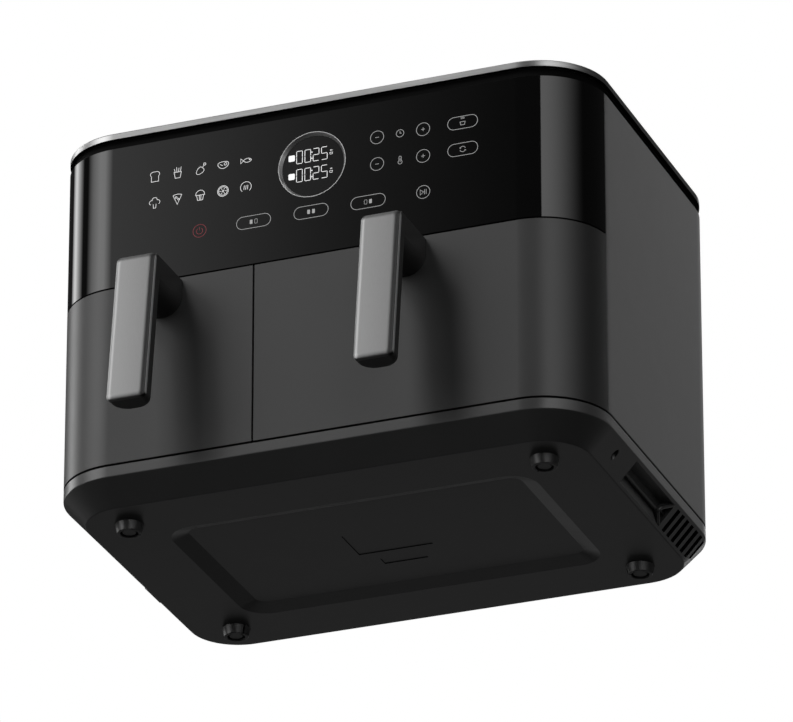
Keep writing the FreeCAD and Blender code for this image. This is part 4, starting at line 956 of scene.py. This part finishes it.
class FRYER_OT_casing(bpy.types.Operator):
    """Finish the base, the sides and back, the lid and what they hold at the outside"""
    bl_idname = "fryer.casing"
    bl_label = "Casing"

    # In millimetres: the label seats' left, right, front and rear edges, the paths of the ribs in the right
    # hand grip, and how deep the ribs' roots go; then the share of its radius that a rib's round top is sunk
    LABEL_SEATS = ((-26.5, 28.6, 11.8, 45.8), (-15.2, 17.2, 56.9, 66.4))
    RIBS = (((186.7, 68.5, 9.1), (189.6, 60.6, 12.4), (190.6, 57.4, 13.5), (191.9, 57.4, 14.9),
             (193.3, 59.0, 16.4), (195.4, 63.6, 18.7), (198.2, 69.5, 21.7)),
            ((189.4, -9.4, 15.4), (189.4, 57.0, 15.4)))
    RIB_ROOT = 3.5
    RIB_SINK = 0.6

    def execute(self, context):
        s = sizes()
        edged("side_rear_shell", s.shell_edge)
        edged("rear_grille", s.shell_edge / 2)
        edged("cord_gland", s.rubber_edge)
        # The lid rim's underside painted near-black: painted shade in the gap under the rim
        paint_light_or_shade(edged("lid_rim", s.shell_edge), lambda face: face.normal.z < -STEEP)
        self.base(s)
        keep("top_cover", "upper_frame", "front_frame", "base_screws")
        return {"FINISHED"}

    def base(self, s):
        """The base: soft outer edges, painted shade in the vents, round two bare label seats and on the hand
        grips' ledges, painted light on the grips' inner walls, and ribs in the hand grips.
        """
        shape = BaseShape(s)
        bm = cleaned("base_tray")
        soften(bm, s.base_edge, shape.outer, clamp=False)
        soften(bm, s.cut_edge, shape.cut)
        for seat in self.LABEL_SEATS:
            self.sink(bm, shape.panel, [value * MM for value in seat], s.label_sink)
        base = in_place("base_tray", bm, crease=FINE_CREASE)
        # Vents and the label seats' walls painted near-black: painted shade
        paint_light_or_shade(base, shape.painted_shade_hollow)
        # The hand grips' ledges painted darker with the switches' black: painted shade
        paint_light_or_shade(base, shape.painted_shade_ledge, "switch_black")
        # The hand grips' inner walls get a paler copy of the base's finish: painted light
        paint_light_or_shade(base, shape.painted_light_wall, "grip_wall_painted_light")
        self.grip_ribs(shape.out, s)

    def sink(self, bm, level, seat, depth):
        """Sinks a rectangle of the flat panel at a level."""
        left, right, front, rear = seat

        def panel_faces():
            return [face for face in bm.faces if face.normal.z < -STRAIGHT
                    and all(abs(v.co.z - level) < LEVEL_SLACK for v in face.verts)]

        for place, normal in (((left, 0, 0), (1, 0, 0)), ((right, 0, 0), (1, 0, 0)),
                              ((0, front, 0), (0, 1, 0)), ((0, rear, 0), (0, 1, 0))):
            faces = panel_faces()
            edges = {edge for face in faces for edge in face.edges}
            verts = {vert for face in faces for vert in face.verts}
            bmesh.ops.bisect_plane(bm, geom=[*faces, *edges, *verts], plane_co=place, plane_no=normal)
        inside = []
        for face in panel_faces():
            centre = face.calc_center_median()
            if left < centre.x < right and front < centre.y < rear:
                inside.append(face)
        made = bmesh.ops.extrude_face_region(bm, geom=inside)["geom"]
        bmesh.ops.translate(bm, verts=[item for item in made if isinstance(item, bmesh.types.BMVert)],
                            vec=(0, 0, depth))
        bmesh.ops.delete(bm, geom=[face for face in inside if face.is_valid], context="FACES")

    def grip_ribs(self, out, s):
        """The ribs that stand in the hand grips, the same on both sides."""
        radius, root = s.rib_width / 2, self.RIB_ROOT * MM
        top = [(u, v - radius * self.RIB_SINK) for u, v in arc(0, 0, radius, 0, 180, 8)]
        profile = [(radius, -root), *top, (-radius, -root)]
        for side, sign in (("left", -1), ("right", 1)):
            faces_out = Vector((out.x * sign, out.y, out.z))
            bm = bmesh.new()
            for path in self.RIBS:
                points = [Vector((x * sign, y, z)) * MM for x, y, z in path]
                swept(bm, eased(points), faces_out, profile)
            link_piece(f"{side}_grip_ribs", bm, "casing", finish("base_grey"))


class FRYER_OT_feet(bpy.types.Operator):
    """Make the four rubber feet, each a slit ring round a sunken button"""
    bl_idname = "fryer.feet"
    bl_label = "Feet"

    # Radii of the ring's tip, its hole, the button and the stem, as shares of the radius at the foot's root
    RADII = (0.855, 0.625, 0.49, 0.38)
    # In millimetres: how far the button is sunk and the pinhole at its axis; then how deep the groove round
    # the button is, as a share of the foot's height
    SUNK = 0.9
    PINHOLE = 0.02
    GROOVE = 0.4
    RING_STEPS = 64
    BUTTON_STEPS = 48

    def execute(self, context):
        for place in ("front_left", "front_right", "rear_left", "rear_right"):
            self.foot(f"foot_{place}", sizes())
        return {"FINISHED"}

    def foot(self, node, s):
        """One foot, its slit turned towards the middle of the casing."""
        low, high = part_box(node)
        centre = (low + high) / 2
        inward = middle("base_tray") - centre
        towards = math.atan2(inward.y, inward.x)
        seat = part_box("base_tray")[0].z
        root = (high.x - low.x) / 2
        tip, hole, button, stem = (root * share for share in self.RADII)
        sunk, pinhole, groove = self.SUNK * MM, self.PINHOLE * MM, seat * self.GROOVE
        edge = s.rubber_edge
        half_slit = s.foot_slit / 2 / tip
        turns = [math.pi / 2 * i / s.round_steps for i in range(s.round_steps + 1)]
        lip = [(tip - edge + edge * math.sin(a), edge - edge * math.cos(a)) for a in turns]
        outline = [(hole, seat), (hole, edge / 2), (hole + edge / 2, 0), *lip, (root, seat)]
        behind = hole + edge / 4
        core = [(pinhole, sunk), (button - edge / 2, sunk), (button, sunk + edge / 2), (button, groove),
                (behind, groove), (behind, seat), (stem, seat), (stem, high.z), (pinhole, high.z)]
        bm = bmesh.new()
        turned(bm, centre, outline, towards + half_slit, towards + 2 * math.pi - half_slit, self.RING_STEPS)
        turned(bm, centre, core, 0, 2 * math.pi, self.BUTTON_STEPS)
        in_place(node, bm, "ring")


class FRYER_OT_touch_panel(bpy.types.Operator):
    """Finish the touch panel and its display, and print the symbols and digits"""
    bl_idname = "fryer.touch_panel"
    bl_label = "Touch panel"

    # Symbols, in millimetres from the display's centre: heights of the rows; the food signs' first place,
    # pitch and half width; the keys' places across; half widths of the round keys and the gauges; the long
    # keys' height and two widths
    UPPER, LOWER, BOTTOM = 11.9, -8.7, -36.4
    FOOD = (-117.8, 17.15, 4.4)
    MINUS_AT, GAUGE_AT, PLUS_AT, LONG_AT, POWER_AT = 48.4, 65.4, 82.4, 111.5, -83.6
    KEY_HALF, GAUGE_HALF = 4.9, 3.1
    LONG_TALL, LONG_WIDE, BASKET_WIDE = 9.5, 22.0, 25.4
    # The basket keys' places, each with which of its two blocks are full; the blocks' width, height and
    # distance from the middle
    BASKET_KEYS = ((-43.2, (-1,)), (-0.4, (-1, 1)), (41.8, (1,)))
    BLOCK = (2.0, 3.2, 1.8)
    # Shares: a long key's corner radius and its sign's half width, of its height; the corner radius of a
    # block or a square, of its width; the strokes of the empty blocks and of the small signs, of the usual
    LONG_CORNER = 0.495
    LONG_SIGN = 0.36
    BLOCK_CORNER = 0.2
    EMPTY_STROKE = 0.7
    SMALL_STROKE = 0.6

    # The display, in millimetres from its centre: the rows; the first digit's place, the pitch and a digit's
    # width and height; the square's place and size; the dots' height and radius; the small sign's place,
    # drop and half width; then the figures that it shows
    DIGIT_ROWS = (8.3, -5.9)
    DIGITS = (-10.2, 6.17, 4.3, 9.6)
    SQUARE = (-16.0, 4.7)
    DOT = (2.4, 0.5)
    SMALL_SIGN = (13.4, 0.6, 2.0)
    SHOWN = "0025"

    def execute(self, context):
        s = sizes()
        edged("front_fascia", s.shell_edge / 2)
        keep("display_bezel", "display_lens")
        face = middle("display_lens")
        face.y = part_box("front_fascia")[0].y
        self.food(face, s)
        self.keys(face, s)
        self.power(face, s)
        face.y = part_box("display_lens")[0].y
        self.digits(face, s)
        return {"FINISHED"}

    def food(self, face, s):
        """Two rows of food signs."""
        first, pitch, half = (value * MM for value in self.FOOD)
        ink = Ink(face, s.ink_height)
        for z, row in zip((self.UPPER, self.LOWER), FOOD_SIGNS):
            for i, draw in enumerate(row):
                ink.sign(draw(), first + pitch * i, z * MM, half, s.line_width)
        link_piece("food_symbols", ink.bm, "casing", finish("symbol"))

    def keys(self, face, s):
        """The round keys, the gauges between them and the long keys."""
        upper, lower, bottom = self.UPPER * MM, self.LOWER * MM, self.BOTTOM * MM
        key, gauge_half, tall = self.KEY_HALF * MM, self.GAUGE_HALF * MM, self.LONG_TALL * MM
        ink = Ink(face, s.ink_height)
        for z, gauge in ((upper, clock), (lower, thermometer)):
            ink.sign(minus(), self.MINUS_AT * MM, z, key, s.line_width)
            ink.sign(gauge(), self.GAUGE_AT * MM, z, gauge_half, s.line_width)
            ink.sign(plus(), self.PLUS_AT * MM, z, key, s.line_width)
        ink.sign(play_pause(), self.PLUS_AT * MM, bottom, key, s.line_width)

        def long_key(x, z, width):
            outline = rounded(x * MM, z, width * MM, tall, tall * self.LONG_CORNER, 10)
            ink.stroke(outline, s.line_width, True)

        for z, draw in ((upper, shake), (lower, turn_about)):
            long_key(self.LONG_AT, z, self.LONG_WIDE)
            ink.sign(draw(), self.LONG_AT * MM, z, tall * self.LONG_SIGN, s.line_width)
        width, height, apart = (value * MM for value in self.BLOCK)
        for x, full in self.BASKET_KEYS:
            long_key(x, bottom, self.BASKET_WIDE)
            for side in (-1, 1):
                block = rounded(x * MM + side * apart, bottom, width, height, width * self.BLOCK_CORNER, 3)
                if side in full:
                    ink.patch(block)
                else:
                    ink.stroke(block, s.line_width * self.EMPTY_STROKE, True)
        link_piece("key_symbols", ink.bm, "casing", finish("key_symbol"))

    def power(self, face, s):
        """The power key."""
        ink = Ink(face, s.ink_height)
        ink.sign(power_sign(), self.POWER_AT * MM, self.BOTTOM * MM, self.KEY_HALF * MM, s.line_width)
        link_piece("power_symbol", ink.bm, "casing", finish("power"))

    def digits(self, face, s):
        """Two rows of four digits, each between a small square and a small sign."""
        first, pitch, width, height = (value * MM for value in self.DIGITS)
        square_at, square = (value * MM for value in self.SQUARE)
        dot_height, dot = (value * MM for value in self.DOT)
        sign_at, sign_drop, sign_half = (value * MM for value in self.SMALL_SIGN)
        ink = Ink(face, s.ink_height)
        for z in (row * MM for row in self.DIGIT_ROWS):
            for i, figure in enumerate(self.SHOWN):
                ink.digit(figure, first + pitch * i, z, width, height, s.digit_width)
            ink.patch(rounded(square_at, z, square, square, square * self.BLOCK_CORNER))
            for rise in (-dot_height, dot_height):
                ink.patch(ring(first + pitch * 1.5, z + rise, dot, 10))
            ink.sign(shake(), sign_at, z - sign_drop, sign_half, s.digit_width * self.SMALL_STROKE)
        link_piece("display_digits", ink.bm, "casing", finish("digits"))


class FRYER_OT_drawers(bpy.types.Operator):
    """Finish the drawers' fronts, baskets and perforated plates"""
    bl_idname = "fryer.drawers"
    bl_label = "Drawers"

    def execute(self, context):
        s = sizes()
        for side in SIDES:
            edged(f"{side}_drawer_front", s.shell_edge)
            edged(f"{side}_basket", s.sheet_edge, lambda edge: edge.is_convex)
        keep_both("drawer_cover", "crisper_plate", "plate_bumpers", "magnet")
        return {"FINISHED"}


class FRYER_OT_handles(bpy.types.Operator):
    """Make the handles' metal plates and finish their grips"""
    bl_idname = "fryer.handles"
    bl_label = "Handles"

    LEAST_CORNER = 0.4 * MM

    def execute(self, context):
        s = sizes()
        for side in SIDES:
            self.plate(f"{side}_handle_plate", s)
            grip = edged(f"{side}_handle_grip", s.grip_edge)
            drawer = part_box(f"{side}_drawer_front")[0].y
            # The grip's faces where it meets the drawer painted near-black: a painted shade line at the join
            paint_light_or_shade(grip, lambda face: face.center.y > drawer - s.grip_edge)
        keep_both("handle_screws")
        return {"FINISHED"}

    def plate(self, node, s):
        """A leaning plate with round corners and a rounded face, as deep as the node's."""
        low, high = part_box(node)
        corners = [v.co for v in nodes[node].data.vertices]
        back_top = max(p.y for p in corners)
        back_low = max(p.y for p in corners if p.z < low.z + s.plate_round / 2)
        x, z = (low.x + high.x) / 2, (low.z + high.z) / 2
        width, height = high.x - low.x, high.z - low.z

        def rear(at):
            return back_low + (back_top - back_low) * (at - low.z) / height

        depth = rear(low.z) - low.y
        levels = [(0.0, 0.0)]
        for i in range(s.round_steps + 1):
            turn = math.pi / 2 * i / s.round_steps
            falls_back = s.plate_round * (1 - math.sin(turn))
            levels.append((depth - falls_back, s.plate_slope * (1 - math.cos(turn))))
        bm = bmesh.new()
        loops = []
        for out, inset in levels:
            corner = max(s.plate_corner - inset / 2, self.LEAST_CORNER)
            outline = rounded(x, z, width - 2 * inset, height - 2 * inset, corner, s.round_steps)
            loops.append([bm.verts.new((px, rear(pz) - out, pz)) for px, pz in outline])
        skinned(bm, loops)
        in_place(node, bm, "face")


class FRYER_OT_chambers(bpy.types.Operator):
    """Finish the two cooking chambers and what hangs in them"""
    bl_idname = "fryer.chambers"
    bl_label = "Chambers"

    # Windows along each side of a guard, and the upper layer's rise and a leg's width as shares of a wire's
    WINDOWS = 5
    LAYER = 0.8
    LEG = 1.5

    def execute(self, context):
        s = sizes()
        for side in SIDES:
            self.guard(f"{side}_heater_guard", s)
        keep_both("liner", "runners", "heater")
        keep("divider", "temperature_sensors")
        return {"FINISHED"}

    def guard(self, node, s):
        """Two crossed layers of round wires on four legs, in place of the guard's bars."""
        low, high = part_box(node)
        radius = s.guard_wire / 2
        wire, leg = ring(0, 0, radius, 10), ring(0, 0, radius * self.LEG, 12)
        bm = bmesh.new()

        def lay(start, stop, out, profile):
            swept(bm, [Vector(start), Vector(stop)], Vector(out), profile)

        lower, upper = low.z + radius, low.z + radius + s.guard_wire * self.LAYER
        for i in range(self.WINDOWS + 1):
            share = i / self.WINDOWS
            x = low.x + radius + (high.x - low.x - s.guard_wire) * share
            y = low.y + radius + (high.y - low.y - s.guard_wire) * share
            lay((low.x, y, upper), (high.x, y, upper), (0, 0, 1), wire)
            lay((x, low.y, lower), (x, high.y, lower), (0, 0, 1), wire)
        tops = [v.co for v in nodes[node].data.vertices if v.co.z > high.z - LEVEL_SLACK]
        centre = (low + high) / 2
        for right in (False, True):
            for rear in (False, True):
                corner = [p for p in tops if (p.x > centre.x) == right and (p.y > centre.y) == rear]
                x = sum(p.x for p in corner) / len(corner)
                y = sum(p.y for p in corner) / len(corner)
                lay((x, y, lower), (x, y, high.z), (1, 0, 0), leg)
        in_place(node, bm, "wires")


class FRYER_OT_drive(bpy.types.Operator):
    """Finish the motors, their brackets and the fans"""
    bl_idname = "fryer.drive"
    bl_label = "Motors and fans"

    def execute(self, context):
        keep_both("motor", "shaft", "hot_fan", "fan_nut", "cooling_fan")
        keep("motor_brackets")
        return {"FINISHED"}


class FRYER_OT_electronics(bpy.types.Operator):
    """Finish the boards, the display's lamp module and the drawer switches"""
    bl_idname = "fryer.electronics"
    bl_label = "Electronics"

    def execute(self, context):
        keep("display_module", "control_board", "power_board", "drawer_switches")
        return {"FINISHED"}


class FRYER_OT_stage(bpy.types.Operator):
    """Set up the floor, the studio light and the camera"""
    bl_idname = "fryer.stage"
    bl_label = "Stage"

    # Softboxes: azimuths, from the front towards the right, where each begins, is full, stops being full and
    # ends, the same for elevations, all in degrees, and its level
    BOXES = {
        "left glow": ((-70, -60, -24, -20.3), (-12, -6, 40, 50), 0.45),
        "left box": ((-72, -46, -37, -21.8), (-12, -6, 40, 50), 3.0),
        "left strip": ((-117, -105, -102, -83), (-6, 0, 40, 50), 4.2),
        "under glow": ((-181, -180, -115, -95), (-85, -72, -48, -40), 0.14),
        "overhead": ((-182, -181, 181, 182), (58, 68, 91, 92), 1.0),
    }
    # A screen at the right that fades from its left edge to its right one: azimuths, elevations and level
    SCREEN = (21, 94)
    SCREEN_TALL = (-12, -6, 40, 50)
    SCREEN_LEVEL = 2.15
    # Elevations of the paler band below the horizon, and azimuths between which what lies behind begins
    HORIZON = (-36, -12, -6, 0)
    BEHIND = (172, 178)

    # Lamps: azimuth and elevation in degrees, distance and width in metres, and power in watts; then how far
    # the camera sees
    LAMPS = {"key lamp": (-24, 42, 2.2, 0.5, 52.0), "rear lamp": (150, 32, 2.2, 0.8, 94.0)}
    FARTHEST = 50.0

    def execute(self, context):
        studio = context.scene.fryer_studio
        context.scene.view_settings.view_transform = "Standard"
        self.light(studio)
        self.lamps()
        self.floor(studio)
        self.camera(studio)
        return {"FINISHED"}

    def light(self, studio):
        """White behind the object for the camera; softboxes in a dim room for everything else."""
        world = bpy.data.worlds.new("studio")
        bpy.context.scene.world = world
        world.use_nodes = True
        g = Graph(world.node_tree)
        x, y, z = g.split(g.node("ShaderNodeTexCoord", out="Generated"))
        azimuth = g.node("ShaderNodeMath", {"operation": "ARCTAN2"}, {0: x, 1: 0 - y}) * math.degrees(1)
        elevation = g.node("ShaderNodeMath", {"operation": "ARCSINE"}, {0: z}) * math.degrees(1)

        def between(angle, begins, full, wanes, ends):
            return angle.slope(begins, full) * (1 - angle.slope(wanes, ends))

        level = studio.room + between(elevation, *self.HORIZON) * studio.below
        for across, upright, power in self.BOXES.values():
            level = level + between(azimuth, *across) * between(elevation, *upright) * power
        start, stop = self.SCREEN
        screen = (azimuth > start) * (1 - azimuth.ramp(start, stop)) * between(elevation, *self.SCREEN_TALL)
        level = level + screen * self.SCREEN_LEVEL
        level = level * (1 - g.ray("Diffuse") * studio.dimming)
        near, far = self.BEHIND
        behind = azimuth.slope(near, far) + (1 - azimuth.slope(-far, -near))
        mirrored = g.ray("Glossy") * behind * (elevation > 0)
        white = (g.ray("Camera") + g.ray("Transmission") + mirrored) > 0.5
        total = level * (1 - white) + white
        background = g.node("ShaderNodeBackground", None, {"Color": (1, 1, 1, 1), "Strength": total})
        g.node("ShaderNodeOutputWorld", None, {"Surface": background})

    def lamps(self):
        """Soft lamps that light the object and are not mirrored in it."""
        aim = (cad_box[0] + cad_box[1]) / 2
        for name, (azimuth, elevation, distance, width, power) in self.LAMPS.items():
            across, up = math.radians(azimuth), math.radians(elevation)
            flat = math.cos(up)
            towards = Vector((math.sin(across) * flat, -math.cos(across) * flat, math.sin(up)))
            data = bpy.data.lights.new(name, "AREA")
            data.size = width
            data.energy = power
            lamp = bpy.data.objects.new(name, data)
            lamp.location = aim + towards * distance
            lamp.rotation_euler = towards.to_track_quat("Z", "Y").to_euler()
            lamp.visible_glossy = False
            lamp.visible_camera = False
            bpy.context.scene.collection.objects.link(lamp)

    def floor(self, studio):
        """A pale floor that the camera alone sees, and only from above, so the underside is seen and lit."""
        half = studio.floor_size
        bm = bmesh.new()
        corners = ((-half, -half), (half, -half), (half, half), (-half, half))
        bm.faces.new([bm.verts.new((x, y, 0)) for x, y in corners])
        mesh = bpy.data.meshes.new("floor")
        bm.to_mesh(mesh)
        bm.free()
        floor = bpy.data.objects.new("floor", mesh)
        bpy.context.scene.collection.objects.link(floor)
        f = Finish("floor_paint")
        speckled = f.noise(40.0, 3.0).shades(colour("floor"), 0.98, 1.02)
        paint = f.node("ShaderNodeBsdfDiffuse", None, {"Color": speckled})
        clear = f.node("ShaderNodeBsdfTransparent")
        seen = f.ray("Camera") * (1 - f.node("ShaderNodeNewGeometry", out="Backfacing"))
        surface = f.node("ShaderNodeMixShader", None, {0: seen, 1: clear, 2: paint})
        f.node("ShaderNodeOutputMaterial", None, {"Surface": surface})
        mesh.materials.append(f.material)

    def camera(self, studio):
        """The camera below the front right corner, looking up."""
        data = bpy.data.cameras.new("camera")
        data.lens = studio.focal_length
        data.clip_end = self.FARTHEST
        camera = bpy.data.objects.new("camera", data)
        camera.location = studio.camera_place
        camera.rotation_euler = Vector(studio.camera_aim).to_track_quat("-Z", "Y").to_euler()
        bpy.context.scene.collection.objects.link(camera)
        bpy.context.scene.camera = camera


STEPS = (FRYER_OT_casing, FRYER_OT_feet, FRYER_OT_touch_panel, FRYER_OT_drawers, FRYER_OT_handles,
         FRYER_OT_chambers, FRYER_OT_drive, FRYER_OT_electronics, FRYER_OT_stage)


class FRYER_PT_finish(bpy.types.Panel):
    """The steps of finishing the fryer, in order"""
    bl_idname = "FRYER_PT_finish"
    bl_label = "Air Fryer"
    bl_space_type = "VIEW_3D"
    bl_region_type = "UI"
    bl_category = "Air Fryer"

    def draw(self, context):
        for step in STEPS:
            self.layout.operator(step.bl_idname)


CLASSES = (FryerSizes, FryerColours, FryerStudio, *STEPS, FRYER_PT_finish)
GROUPS = {"fryer_sizes": FryerSizes, "fryer_colours": FryerColours, "fryer_studio": FryerStudio}


def register():
    for cls in CLASSES:
        bpy.utils.register_class(cls)
    for name, group in GROUPS.items():
        setattr(bpy.types.Scene, name, PointerProperty(type=group))


def unregister():
    for name in GROUPS:
        delattr(bpy.types.Scene, name)
    for cls in reversed(CLASSES):
        bpy.utils.unregister_class(cls)


def main():
    register()
    bpy.ops.fryer.casing()
    bpy.ops.fryer.feet()
    bpy.ops.fryer.touch_panel()
    bpy.ops.fryer.drawers()
    bpy.ops.fryer.handles()
    bpy.ops.fryer.chambers()
    bpy.ops.fryer.drive()
    bpy.ops.fryer.electronics()
    bpy.ops.fryer.stage()


if __name__ == "__main__":
    main()
